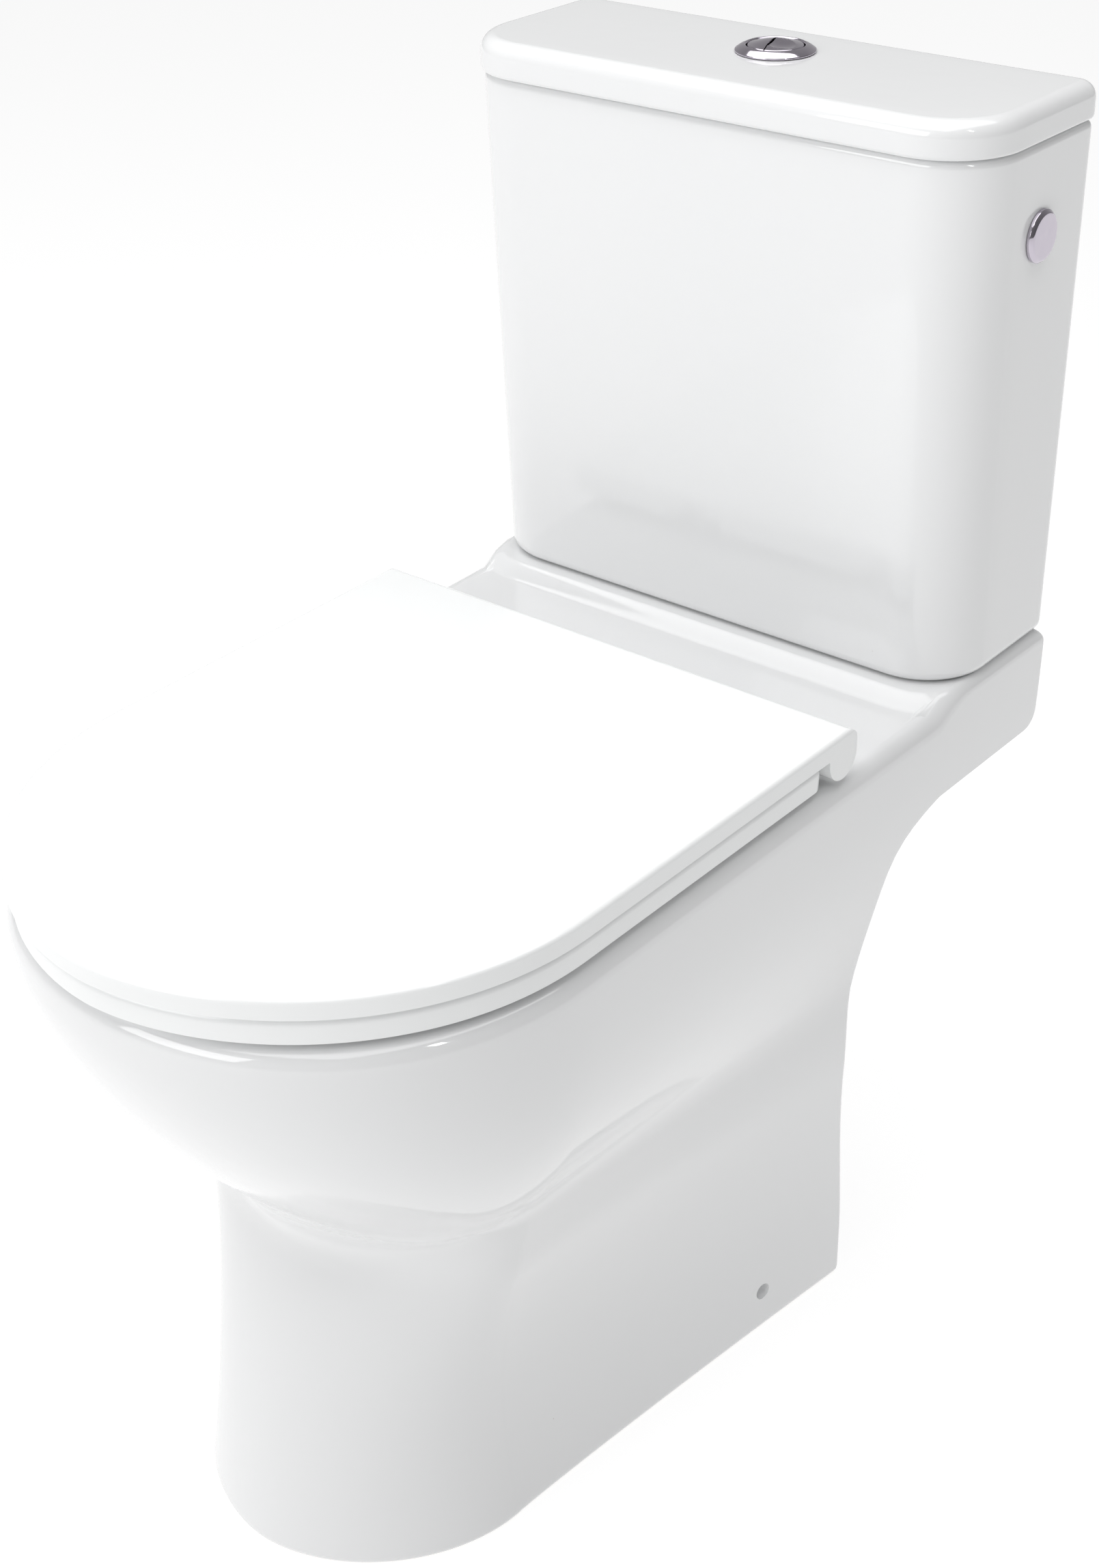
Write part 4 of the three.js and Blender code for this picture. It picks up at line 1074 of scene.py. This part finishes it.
    def duct_path(self) -> Array:
        """Path of the flush water from under the cistern to the rim channel."""
        top = self.rim + self.ledge_rise - 20
        stations = [(self.valve_back, top), (self.valve_back + 2, self.rim - 34),
                    (self.valve_back + 30, self.rim - 58), (150, self.rim - 61),
                    (230, self.rim - 58), (self.opening[0] + 2, self.rim - 42)]
        return spline([(0, from_wall(d), z) for d, z in stations], 10)

    def hollow(self) -> Surface:
        """Room inside the casting, round the bowl's underside and over the floor."""
        z = np.array([-1, 30, 60, 120, 180, 230, 290, 345, 385, self.rim - self.deck])
        level = np.maximum(z, 0)
        back = np.maximum(self.back_at(level), self.pedestal_back - 26)
        room = lofted(raised(self.outline(level, back, np.full(len(z), self.wall)), z[:, None]))
        piece = Piece("room", room, RAW_CAST).cut(self.basin_solid(self.wall, self.lip_drop))
        surface = piece.surface()
        piece.scrap()
        return surface

    def build(self) -> None:
        """Makes the pan and hands it over."""
        out = self.outlet
        half_back = self.foot_widths[1] / 2 - 16
        gap = block((-half_back, half_back), (from_wall(self.pedestal_back + 20), from_wall(120)),
                    (-1, 292))
        half_pocket = self.platform_width / 2 - 18
        pocket = block((-half_pocket, half_pocket), (from_wall(104), from_wall(16)),
                       (self.platform_base - 20, self.rim - self.deck + 3))
        pan = Piece("pan_body", self.skin(), GLAZE)
        pan.cut(self.hollow(), gap, pocket, finish=RAW_CAST)
        trap = Piece("trap", tube(self.trap_path(), self.trap_radii[0]), RAW_CAST)
        trap.cut(self.basin_solid(1.0, 60))
        spigot_radius = self.outlet_radius
        spigot = turned([(0, from_wall(214)), (spigot_radius, from_wall(214)),
                         (spigot_radius, from_wall(154)), (spigot_radius - 1.2, from_wall(151.2)),
                         (spigot_radius - 4, from_wall(150)), (0, from_wall(150))],
                        (0, 0, out), Axis.Y)
        pan.join(trap.surface(), spigot, tube(self.duct_path(), self.duct_radii[0]), finish=RAW_CAST)
        trap.scrap()
        top = self.rim + self.ledge_rise
        pan.cut(tube(self.trap_path(), self.trap_radii[1]),
                bar(self.outlet_bore, from_wall(222), from_wall(145), (0, 0, out), Axis.Y),
                tube(self.duct_path(), self.duct_radii[1]),
                bar(27, top - 32, top, (0, from_wall(self.valve_back), 0)),
                bar(44, top - 16, top + 9, (0, from_wall(self.valve_back), 0)), finish=RAW_CAST)
        radius, back, height = self.floor_hole
        for hand in Hand:
            x = hand.value
            pan.cut(bar(5.5, self.platform_base - 5, top + 9,
                        (x * self.bolt_spacing / 2, from_wall(self.bolt_back), 0)),
                    bar(5.5, self.rim - 40, self.rim + 9,
                        (x * self.hinge_spacing / 2, from_wall(self.hinge_back), 0)),
                    bar(radius, x * 100, x * 200, (0, from_wall(back), height), Axis.X),
                    finish=RAW_CAST)
        pan.done(Body.PAN, "pan", "pan_basin")


# ---------- Cistern ----------


def box_outline(half: Array, back: Array, front: Array, back_radius: Array,
                front_radius: Array) -> Array:
    """Round-cornered rectangle, one for each row.

    Args:
        half: half widths (rows,).
        back: distances of the back from the wall.
        front: distances of the front from the wall.
        back_radius: radii of the back corners.
        front_radius: radii of the front corners.

    Returns:
        Points (rows, columns, 2), anticlockwise from the front.
    """
    values = (half, back, front, back_radius, front_radius)
    columns = [np.asarray(value, float).reshape(-1, 1) for value in values]
    half, back, front, back_radius, front_radius = np.broadcast_arrays(*columns)
    rise, run = arc(20)
    small_rise, small_run = arc(7)
    t = np.linspace(0, 1, 25, endpoint=False)[None]
    u = np.linspace(0, 1, 13)[None, 1:-1]
    side_length = front - front_radius - back - back_radius
    faces = [
        (t * (half - front_radius), from_wall(front) + 0 * t),
        (half - front_radius * (1 - rise), from_wall(front) + front_radius * run),
        (half + 0 * u, from_wall(front - front_radius) + u * side_length),
        (half - back_radius * small_run, from_wall(back + back_radius) + back_radius * small_rise),
        ((1 - t) * (half - back_radius), from_wall(back) + 0 * t),
        (0 * half, from_wall(back)),
    ]
    points = [np.stack(np.broadcast_arrays(x, y), -1) for x, y in faces]
    points[4] = points[4][:, 1:]
    return mirrored(np.concatenate(points, axis=1))


@dataclass
class Cistern:
    """Ceramic cistern: a tapered box with broad front corners, open at the top."""

    base: float = 455.3
    height: float = 328.0
    widths: tuple[float, float] = (368.6, 373.0)
    depths: tuple[float, float] = (122.9, 135.3)
    front_corner: float = 46.0
    back_corner: float = 12.0
    wall: float = 10.0
    valve_back: float = 72.0
    bolt_spacing: float = 152.0
    bolt_back: float = 46.0
    side_hole: tuple[float, float, float] = (11.5, 61.0, 274.0)

    def outline(self, height: Array, inset: Array) -> Array:
        """Outlines at heights above the base, drawn in by insets; width and depth grow evenly."""
        t = np.asarray(height, float) / self.height
        inset = np.asarray(inset, float)
        half = (self.widths[0] + (self.widths[1] - self.widths[0]) * t) / 2 - inset
        front = self.depths[0] + (self.depths[1] - self.depths[0]) * t - inset
        return box_outline(half, inset, front, np.maximum(self.back_corner - inset, 4),
                           np.maximum(self.front_corner - inset, 6))

    def build(self) -> None:
        """Makes the cistern: underside, walls, rounded top edge, inner walls and floor."""
        rise, run = arc(8)
        small_rise, small_run = arc(5)
        top, bottom, lip, inner = self.height, 8.0, 5.0, 8.0
        height = np.concatenate([bottom * run, np.linspace(bottom, top - lip, 16)[1:-1],
                                 top - lip + lip * small_rise, top - 3 * small_run,
                                 np.linspace(top - 8, self.wall + inner + 2, 12),
                                 self.wall + inner * (1 - rise)])
        inset = np.concatenate([bottom * (1 - rise), np.zeros(14), lip * small_run,
                                self.wall - 3 * (1 - small_rise), np.full(12, self.wall),
                                self.wall + inner * run])
        rows = raised(self.outline(np.clip(height, 0, top), inset), (self.base + height)[:, None])
        cistern = Piece("cistern_body", lofted(rows), GLAZE)
        floor = self.base + self.wall
        radius, back, up = self.side_hole
        cistern.cut(bar(26, self.base - 5, floor + 5, (0, from_wall(self.valve_back), 0)), finish=GLAZE)
        for hand in Hand:
            x = hand.value
            cistern.cut(bar(5.5, self.base - 5, floor + 5,
                            (x * self.bolt_spacing / 2, from_wall(self.bolt_back), 0)),
                        bar(radius, x * 160, x * 200, (0, from_wall(back), self.base + up), Axis.X))
        cistern.done(Body.PAN, "cistern")


@dataclass
class CisternCover:
    """Ceramic cover of the cistern with the flush button in it."""

    cistern: Cistern
    base: float = 783.9
    height: float = 21.5
    width: float = 375.0
    depth: float = 139.0
    corner: float = 48.0
    wall: float = 9.0
    lip_drop: float = 8.0
    edge: float = 10.0
    undercut: float = 2.5
    button_back: float = 57.0

    def outline(self, inset: Array) -> Array:
        """Outlines of the cover drawn in by insets."""
        inset = np.asarray(inset, float)
        return box_outline(self.width / 2 - inset, inset, self.depth - inset,
                           np.maximum(12 - inset, 4), self.corner - inset)

    def build(self) -> None:
        """Makes the cover: recess, lip, underside, undercut edge, round top edge and flat top."""
        rise, run = arc(9)
        small_rise, small_run = arc(4)
        inside = self.cistern.outline(np.full(6, self.cistern.height),
                                      np.array([40, 21.5, 21, 20, 13, 12.0]))
        roof = self.height - self.wall
        inside_z = np.array([roof, roof, roof - 2,
                             -self.lip_drop, -self.lip_drop, -self.lip_drop + 1])
        lip = self.cistern.outline(np.full(2, self.cistern.height), np.array([12.0, 11.5]))
        under = self.undercut
        edge_start = self.height - self.edge
        outside_inset = np.concatenate([[8, 4], under * (1 - small_rise), np.zeros(4),
                                        self.edge * run[1:]])
        outside_z = np.concatenate([[0, 0], under * small_run, np.linspace(4, edge_start, 4),
                                    edge_start + self.edge * rise[1:]])
        rows = np.concatenate([raised(inside, inside_z[:, None]),
                               raised(lip, np.array([-0.6, 0.0])[:, None]),
                               raised(self.outline(outside_inset), outside_z[:, None])])
        rows[..., 2] += self.base
        centre = np.array([0, from_wall(self.depth / 2), self.base + self.height])
        shrink = np.array([0.85, 0.6, 0.3])[:, None, None]
        rows = np.concatenate([rows, centre + (rows[-1] - centre)[None] * shrink])
        cover = Piece("cistern_cover_body", lofted(rows), GLAZE)
        cover.cut(bar(20, self.base - 20, self.base + self.height + 5,
                      (0, from_wall(self.button_back), 0), edge=0))
        cover.done(Body.COVER, "cistern_lid")


@dataclass
class FlushButton:
    """Split push button in a sloped chrome collar."""

    top_of_cover: float = 805.4
    cover_base: float = 783.9
    back: float = 57.0
    radius: float = 17.0
    collar_radius: float = 24.5
    rod_offset: float = 9.0
    rod_back: float = 48.5
    slant: float = 20.0

    @property
    def centre(self) -> tuple[float, float, float]:
        """Axis of the button."""
        return (0.0, float(from_wall(self.back)), 0.0)

    def collar(self) -> None:
        """Makes the collar: a rounded rim, a gently hollow slope, and a sleeve through the cover."""
        low = self.top_of_cover + 0.3
        top = low + 4.2
        end = self.cover_base - 18
        inner = self.radius + 0.6
        edge = self.collar_radius
        turn = np.linspace(-math.pi / 2, math.pi * 0.36, 9)
        rim = [(edge - 0.75 + 0.75 * math.cos(a), low + 0.75 + 0.75 * math.sin(a)) for a in turn]
        t = np.linspace(0, 1, 12)[1:]
        start, finish = np.array(rim[-1]), np.array([inner + 1.2, top - 0.05])
        slope = start + (finish - start) * t[:, None]
        slope[:, 1] += 0.35 * np.sin(math.pi * t)
        rise, run = arc(5)
        lip = [(inner + 1.2 - 1.2 * s, top - 1.2 * c) for s, c in zip(rise, run)]
        profile = [(inner, end), (19.4, end), (19.4, low), *rim, *slope.tolist(), *lip, (inner, end)]
        collar = Piece("collar_ring", turned(profile, self.centre, sides=128), CHROME)
        collar.join(bar(18.6, end, end + 2, self.centre))
        for hand in Hand:
            place = (hand.value * self.rod_offset, from_wall(self.rod_back), 0)
            collar.cut(bar(3.0, end - 1, end + 4, place))
        collar.done(Body.COVER, "button_collar")

    def boundary(self, hand: Hand) -> Surface:
        """Upright prism to one side of the split, whose line swings as a slow sine."""
        y = np.linspace(-30, 30, 61)
        line = 1.6 * np.sin(math.pi * y / 34) + 0.4 * hand.value
        outline = np.column_stack([line, y])
        far = np.array([[hand.value * 40, 30], [hand.value * 40, -30]])
        low, high = self.top_of_cover - 11, self.top_of_cover + 20
        whole = prism(np.vstack([outline, far]) + np.array([-1.5, self.centre[1]]), low, high)
        return whole.turned(self.slant, (-1.5, self.centre[1])).outward()

    def halves(self) -> None:
        """Makes both parts from one dome; the smaller has a thumb hollow."""
        foot = self.top_of_cover - 6
        top = self.top_of_cover + 7.3
        t = np.linspace(0, 1, 18)
        dome = np.column_stack([self.radius - 1.0 - (self.radius - 1.0) * t,
                                top - 2.9 + 2.9 * np.sin(t * math.pi / 2) ** 1.2])
        rise, run = arc(4)
        shoulder = [(self.radius - 1.0 * c, top - 4.1 + 1.2 * s) for s, c in zip(rise, run)]
        profile = [(0, foot), (self.radius - 0.5, foot), (self.radius, foot + 0.5), *shoulder,
                   *dome[1:].tolist()]
        whole = turned(profile, self.centre, sides=128)
        full = Piece("full_flush_cap", whole, CHROME).cross(self.boundary(Hand.RIGHT))
        turn = np.linspace(-math.pi / 2, math.pi / 2, 30)
        ball = np.column_stack([np.cos(turn), np.sin(turn)]) * 34
        ball[0, 0] = ball[-1, 0] = 0
        hollow = turned(ball, (9.5, self.centre[1] - 5.0, top + 30.8), sides=96)
        full.cut(hollow)
        full.done(Body.FULL_BUTTON, "full_flush_button")
        half = Piece("half_flush_cap", whole, CHROME).cross(self.boundary(Hand.LEFT))
        half.done(Body.HALF_BUTTON, "half_flush_button")

    def build(self) -> None:
        """Makes the collar and the two parts."""
        self.collar()
        self.halves()


# ---------- Seat ----------


@dataclass
class Seat:
    """Soft-close seat: a flat lid hooked over its hinges, and a ring under it."""

    tip: float = 654.0
    width: float = 361.0
    front_width: float = 358.0
    curve: float = 187.4
    rear: float = 220.0
    ring_base: float = 450.7
    ring_top: float = 466.8
    lid_base: float = 467.6
    lid_top: float = 479.4
    ring_width: float = 62.0
    deck: float = 446.0
    hinge_back: float = 234.0
    hinge_height: float = 464.4
    hinge_spacing: float = 156.0
    hood: float = 14.3
    hood_edge: float = 8.0
    pin: float = 3.2

    def outline(self, back: float, inset: Array, corner: float = 0.0) -> Array:
        """Outlines of the seat: a squarish round front, straight sides and a straight rear.

        Args:
            back: distance of the rear from the wall.
            inset: how far each outline is drawn in (rows,).
            corner: radius of the rear corners.

        Returns:
            Points (rows, columns, 2), anticlockwise from the front.
        """
        inset = np.asarray(inset, float).reshape(-1, 1)
        centre = self.tip - self.curve
        turn = np.linspace(0, math.pi / 2, 90)[None]
        front = np.stack([(self.front_width / 2 - inset) * np.sin(turn) ** (2 / 1.84),
                          from_wall(centre + (self.curve - inset) * np.cos(turn) ** (2 / 2.1))], -1)
        t = np.linspace(0, 1, 25)[None, 1:]
        half = self.front_width / 2 + (self.width - self.front_width) / 2 * t
        side = np.stack([half - inset, from_wall(centre + (back + corner - centre) * t) + 0 * inset], -1)
        rise, run = arc(6)
        end = self.width / 2 - inset
        bend = np.stack(np.broadcast_arrays(end - corner * run[1:], from_wall(back + corner)
                                            + corner * rise[1:] + 0 * inset), -1)
        t = np.linspace(1, 0, 31)[None, 1:]
        rear = np.stack([(end - corner) * t, from_wall(back) + 0 * t + 0 * inset], -1)
        middle = [bend] if corner > 0 else []
        return mirrored(np.concatenate([front, side, *middle, rear], axis=1))

    def hook_profile(self) -> Array:
        """Side profile of the lid (Y, Z): flat top, rounded rear, and a hook round the hinge."""
        rear, edge = from_wall(self.rear), self.hood_edge
        y, z = from_wall(self.hinge_back), self.hinge_height
        rise, run = arc(10)
        bend = edge + 0.02
        over = np.column_stack([rear - edge + bend * rise, self.lid_top - bend * run + 0.02])
        turn = np.linspace(0, -math.pi, 40)
        hook = np.column_stack([y + self.hood * 0.98 * np.cos(turn), z + self.hood * np.sin(turn)])
        front = from_wall(self.tip + 10)
        notch = np.column_stack([y - self.hood * 0.98 - 1.2 * run, self.lid_base - 1.2 * (1 - rise)])
        head = np.array([[front, self.lid_top + 2], [rear - edge - 1.0, self.lid_top + 2]])
        return np.vstack([head, over, hook, notch, [[front, self.lid_base]]])

    def lid(self) -> None:
        """Makes the lid: its side profile crossed with its plan, hollowed for hinges and edge wall."""
        rise, run = arc(8)
        soft = 3.2
        z = np.concatenate([[self.hinge_height - self.hood - 2, self.lid_base], [self.lid_top - soft],
                            self.lid_top - soft + soft * rise[1:]])
        inset = np.concatenate([[0, 0, 0], soft * run[1:]])
        plan = lofted(raised(self.outline(self.rear - 12, inset), z[:, None]))
        side = prism(self.hook_profile(), -self.width / 2 - 5, self.width / 2 + 5, Axis.X)
        lid = Piece("seat_lid_cover", plan, SEAT).cross(side)
        rise, run = arc(4)
        z = np.concatenate([[-4, 0.2], 3.2 - 2.2 + 2.2 * rise])
        inset = np.concatenate([[16, 16], 16 + 2.2 * run])
        recess = lofted(raised(self.outline(self.hinge_back + 42, inset, 10),
                               (self.lid_base + z)[:, None]))
        lid.cut(recess)
        y, height = from_wall(self.hinge_back), self.hinge_height
        for hand in Hand:
            x = hand.value * self.hinge_spacing / 2
            out = hand.value
            lid.cut(bar(11.5, x - 22, x + 22, (0, y, height), Axis.X, edge=1.0),
                    block((x - 22, x + 22), (from_wall(self.hinge_back + 16), from_wall(self.rear - 3)),
                          (height - 20, height + 1)),
                    block((x - out * 10, x + out * 9), (y, from_wall(self.rear - 3)),
                          (height, height + 9.5)))
            lid.join(bar(8, x + out * 9.5, x + out * 24, (0, y, height), Axis.X, edge=0.6))
            lid.cut(bar(5.5, x + out * 9, x + out * 50, (0, y, height), Axis.X))
        lid.done(Body.LID, "seat_lid")

    def ring(self) -> None:
        """Makes the ring: a crowned band round an oval opening, with two hinge lugs."""
        back = self.hinge_back + 15
        opening_back, opening_front = back + 54, self.tip - 2 - self.ring_width
        centre = (opening_back + opening_front) / 2
        outer_edge = self.outline(back, np.array([2.4]), 9.0)[0]
        turn = np.arctan2(outer_edge[:, 1] - from_wall(centre), outer_edge[:, 0])

        def outer(inset: float) -> Array:
            """Outside outline drawn in."""
            return self.outline(back + inset, np.array([2.4 + inset]), 9.0)[0]

        def inner(grow: float) -> Array:
            """Opening's outline let out."""
            half = self.front_width / 2 - self.ring_width + grow
            return Pan.oval(turn, half, opening_front + grow, opening_back - grow, centre)

        low, top, soft, fall = self.ring_base, self.ring_top, 5.5, 8.0
        rise, run = arc(6)
        rows = [raised(outer(1.5), low), raised(outer(0.4), low + 0.4)]
        rows += [raised(outer(soft * c), top - soft + soft * s) for s, c in zip(rise, run)]
        first, last = outer(soft), inner(fall)
        for t in np.linspace(0, 1, 12)[1:-1]:
            rows.append(raised(first + (last - first) * t, top))
        rows += [raised(inner(fall * (1 - s)), top - fall * c) for s, c in zip(rise, run)]
        rows += [raised(inner(0), low + 2), raised(inner(0.6), low + 0.6), raised(inner(2), low)]
        first, last = inner(2), outer(1.5)
        for t in (0.3, 0.7):
            rows.append(raised(first + (last - first) * t, low))
        ring = Piece("seat_ring_body", ring_lofted(np.stack(rows)), SEAT)
        y, height = from_wall(self.hinge_back), self.hinge_height
        for hand in Hand:
            near, far = (hand.value * (self.hinge_spacing / 2 - reach) for reach in (19, 9))
            ring.join(bar(7, near, far, (0, y, height), Axis.X, edge=0.6),
                      block((near, far), (from_wall(back + 6), y), (height - 6, height + 0.4)))
        ring.cut(bar(self.pin + 0.4, -120, 120, (0, y, height), Axis.X))
        ring.done(Body.RING, "seat_ring")

    def hinges(self) -> None:
        """Makes the steel hinge posts with their feet and pins."""
        deck = self.deck
        y, height = from_wall(self.hinge_back), self.hinge_height
        for hand in Hand:
            name = hand.name.lower()
            x = hand.value * self.hinge_spacing / 2
            foot = turned([(0, deck + 0.3), (8.6, deck + 0.3), (9, deck + 0.7), (9, deck + 1.6),
                           (8.4, deck + 2.2), (6.6, deck + 2.4), (6, deck + 3.0), (6, height),
                           (0, height)], (x, y, 0))
            post = Piece(f"hinge_pillar_{name}", foot, STEEL)
            post.join(bar(8, x - 8, x + 8, (0, y, height), Axis.X, edge=0.7))
            post.cut(bar(self.pin + 0.3, x - 12, x + 12, (0, y, height), Axis.X),
                     bar(2.9, deck - 1, deck + 7, (x, y, 0)))
            post.done(Body.PAN, f"hinge_post_{name}")
            pin = bar(self.pin, x - 20, x + 20, (0, y, height), Axis.X, edge=0.6)
            Piece(f"hinge_rod_{name}", pin, STEEL).done(Body.PAN, f"hinge_pin_{name}", even=False)

    def buffers(self) -> None:
        """Makes the soft buffers under the ring, rounded on their free face."""
        places = [("front", 560.0, 118.0), ("back", 300.0, 155.0)]
        for end, back, across in places:
            for hand in Hand:
                name = hand.name.lower()
                centre = (hand.value * across, float(from_wall(back)), 0.0)
                low, high = self.deck + 0.3, self.ring_base - 0.3
                pad = [(0, low), (4.5, low + 0.15), (6.2, low + 0.8), (7, low + 2), (7, high - 0.4),
                       (6.6, high), (0, high)]
                piece = Piece(f"ring_pad_{end}_{name}", turned(pad, centre), WHITE_RUBBER)
                piece.done(Body.RING, f"ring_buffer_{end}_{name}", even=False)

    def build(self) -> None:
        """Makes the whole seat."""
        self.lid()
        self.ring()
        self.hinges()
        self.buffers()


# ---------- Side fittings ----------


@dataclass
class SideFittings:
    """Blanking cap on the right of the cistern, and the nut on the fill valve's tail on the left."""

    y: float = 266.0
    z: float = 729.3
    face: float = 186.13
    wall: float = 10.0

    def cap(self) -> None:
        """Makes the blanking cap: a flat disc with a bevelled, rounded edge and a stem."""
        outside = self.face + 0.3
        inside = self.face - self.wall - 13.4
        stem = [(0, inside), (9.2, inside), (9.6, inside + 0.5), (9.6, outside)]
        face = [(15.1, 0.0), (15.5, 0.4), (15.5, 1.7), (15.3, 2.2), (14.2, 3.3), (13.6, 3.75),
                (13.0, 3.95), (12.0, 4.0), (0, 4.0)]
        profile = stem + [(radius, outside + out) for radius, out in face]
        cap = Piece("blanking_cap", turned(profile, (0, self.y, self.z), Axis.X, 96), CHROME)
        cap.done(Body.PAN, "side_hole_cap")

    def inlet_nut(self) -> None:
        """Makes the hexagonal nut on the fill valve's tail."""
        end = -(self.face + 0.3)
        nut = Piece("inlet_back_nut", hexagon(15, end - 6, end, (0, self.y, self.z), Axis.X), BRASS)
        nut.cut(bar(10.5, end - 8, end + 2, (0, self.y, self.z), Axis.X))
        nut.done(Body.PAN, "fill_valve_nut")

    def build(self) -> None:
        """Makes the fittings."""
        self.cap()
        self.inlet_nut()


# ---------- Kept nodes ----------


def coat_kept_nodes() -> None:
    """Finishes the frame's own nodes that show as they are."""
    sides = [hand.name.lower() for hand in Hand]
    coat_nodes(BRASS, *[f"cistern_bolt_{s}" for s in sides], *[f"wing_nut_{s}" for s in sides],
               "float_pin", "float_screw")
    coat_nodes(STEEL, *[f"bolt_washer_{s}" for s in sides], *[f"hinge_stud_{s}" for s in sides],
               "rocker_pin", "full_flush_spring", "half_flush_spring")
    coat_nodes(BLACK_RUBBER, *[f"bolt_seal_{s}" for s in sides], *[f"hinge_washer_{s}" for s in sides],
               "flush_valve_gasket", "coupling_gasket", "flush_seal", "fill_valve_seal",
               "side_hole_seal")
    coat_nodes(WHITE_RUBBER, *[f"lid_buffer_{s}" for s in sides])
    coat_nodes(WHITE_NYLON, "flush_valve_base", "flush_valve_nut", "flush_valve_tower", "fill_valve",
               "side_hole_nut", *[f"hinge_nut_{s}" for s in sides], "collar_nut", "overflow_tube",
               "full_flush_rod", "half_flush_rod", "float")
    coat_nodes(BLUE_NYLON, "full_flush_rocker", "half_flush_rocker", "float_arm",
               *[f"soft_close_damper_{s}" for s in sides])


# ---------- Studio ----------


@dataclass
class Studio:
    """Pale floor, soft light and the camera."""

    eye: tuple[float, float, float] = (0.79315, -0.91327, 1.14831)
    heading: float = 38.8
    dip: float = 31.05
    roll: float = -0.88
    lens: float = 53.715
    shift: tuple[float, float] = (-0.0192, 0.0041)
    lights: list[bpy.types.Object] = field(default_factory=list)

    def camera(self) -> None:
        """Sets the camera by its heading to the left of +Y, its dip below the horizon and its roll."""
        a, e, r = (math.radians(v) for v in (self.heading, self.dip, self.roll))
        ahead = Vector((-math.sin(a) * math.cos(e), math.cos(a) * math.cos(e), -math.sin(e)))
        right = Vector((math.cos(a), math.sin(a), 0))
        up = right.cross(ahead)
        right, up = right * math.cos(r) + up * math.sin(r), up * math.cos(r) - right * math.sin(r)
        data = bpy.data.cameras.new("camera")
        data.lens = self.lens
        data.sensor_width = 36
        data.shift_x, data.shift_y = self.shift
        made = bpy.data.objects.new("camera", data)
        turn = Matrix((right, up, -ahead)).transposed().to_4x4()
        made.matrix_world = Matrix.Translation(self.eye) @ turn
        bpy.context.scene.collection.objects.link(made)
        bpy.context.scene.camera = made

    def floor(self) -> None:
        """Lays the pale floor, faintly lit from within as a light table is."""
        reach = 12.0
        mesh = bpy.data.meshes.new("floor")
        corners = [(-reach, -reach), (reach, -reach), (reach, reach), (-reach, reach)]
        mesh.from_pydata([(x, y, -0.0006) for x, y in corners], [], [(0, 1, 2, 3)])
        material = bpy.data.materials.new("pale_floor")
        material.use_nodes = True
        Recipe(material.node_tree).shade(Base_Color=(0.25, 0.25, 0.25, 1), Roughness=0.9,
                                         Specular_IOR_Level=0.0,
                                         Emission_Color=(1, 1, 1, 1), Emission_Strength=0.84)
        mesh.materials.append(material)
        made = bpy.data.objects.new("floor", mesh)
        bpy.context.scene.collection.objects.link(made)

    def panel(self, name: str, place: Sequence[float], aim: Sequence[float],
              size: tuple[float, float], power: float) -> None:
        """Hangs a soft light panel.

        Args:
            name: its name.
            place: where it hangs, in metres.
            aim: the point that it faces.
            size: width and height in metres.
            power: watts.
        """
        data = bpy.data.lights.new(name, "AREA")
        data.shape = "RECTANGLE"
        data.size, data.size_y = size
        data.energy = power
        made = bpy.data.objects.new(name, data)
        made.location = place
        made.rotation_euler = (Vector(aim) - Vector(place)).to_track_quat("-Z", "Y").to_euler()
        bpy.context.scene.collection.objects.link(made)
        self.lights.append(made)

    def sky(self) -> None:
        """Lights the room evenly: bright low down, dimmer overhead and to the right."""
        world = bpy.data.worlds.new("studio")
        world.use_nodes = True
        bpy.context.scene.world = world
        recipe = Recipe(world.node_tree)
        way = recipe.node("ShaderNodeTexCoord").out("Generated")
        height = recipe.node("ShaderNodeSeparateXYZ", {}, {0: way}).out("Z")
        stops = [(0.0, grey(0.46)), (0.35, grey(0.38)), (0.62, grey(0.32)), (1.0, grey(0.30))]
        shade = recipe.node("ShaderNodeValToRGB", {"stops": stops}, {0: height.held()}).out(0)
        across = recipe.node("ShaderNodeSeparateXYZ", {}, {0: way}).out("X")
        shade = recipe.mix(across.held(), shade, grey(0.13))
        light = recipe.node("ShaderNodeBackground", {}, {"Color": shade, "Strength": 1.0})
        recipe.node("ShaderNodeOutputWorld", {}, {"Surface": light.out()})

    def build(self) -> None:
        """Sets up the studio."""
        self.camera()
        self.floor()
        self.sky()
        self.panel("overhead", (-0.3, -0.1, 2.7), (-0.3, -0.05, 0.0), (3.0, 3.0), 58)
        self.panel("window_right", (1.75, -0.48, 2.35), (0.0, 0.0, 0.4), (0.16, 0.42), 4)
        self.panel("front_fill", (-0.7, -2.9, 1.9), (0.0, 0.3, 0.6), (2.2, 1.4), 34)
        bpy.context.scene.view_settings.view_transform = "Standard"
        log.info("studio: %d lights", len(self.lights))


def main() -> None:
    """Builds the toilet over its frame, then the studio."""
    cistern = Cistern()
    for group in (Pan(), cistern, CisternCover(cistern), FlushButton(), Seat(), SideFittings()):
        group.build()
        log.info("%s built", type(group).__name__)
    coat_kept_nodes()
    Studio().build()


if __name__ == "__main__":
    main()
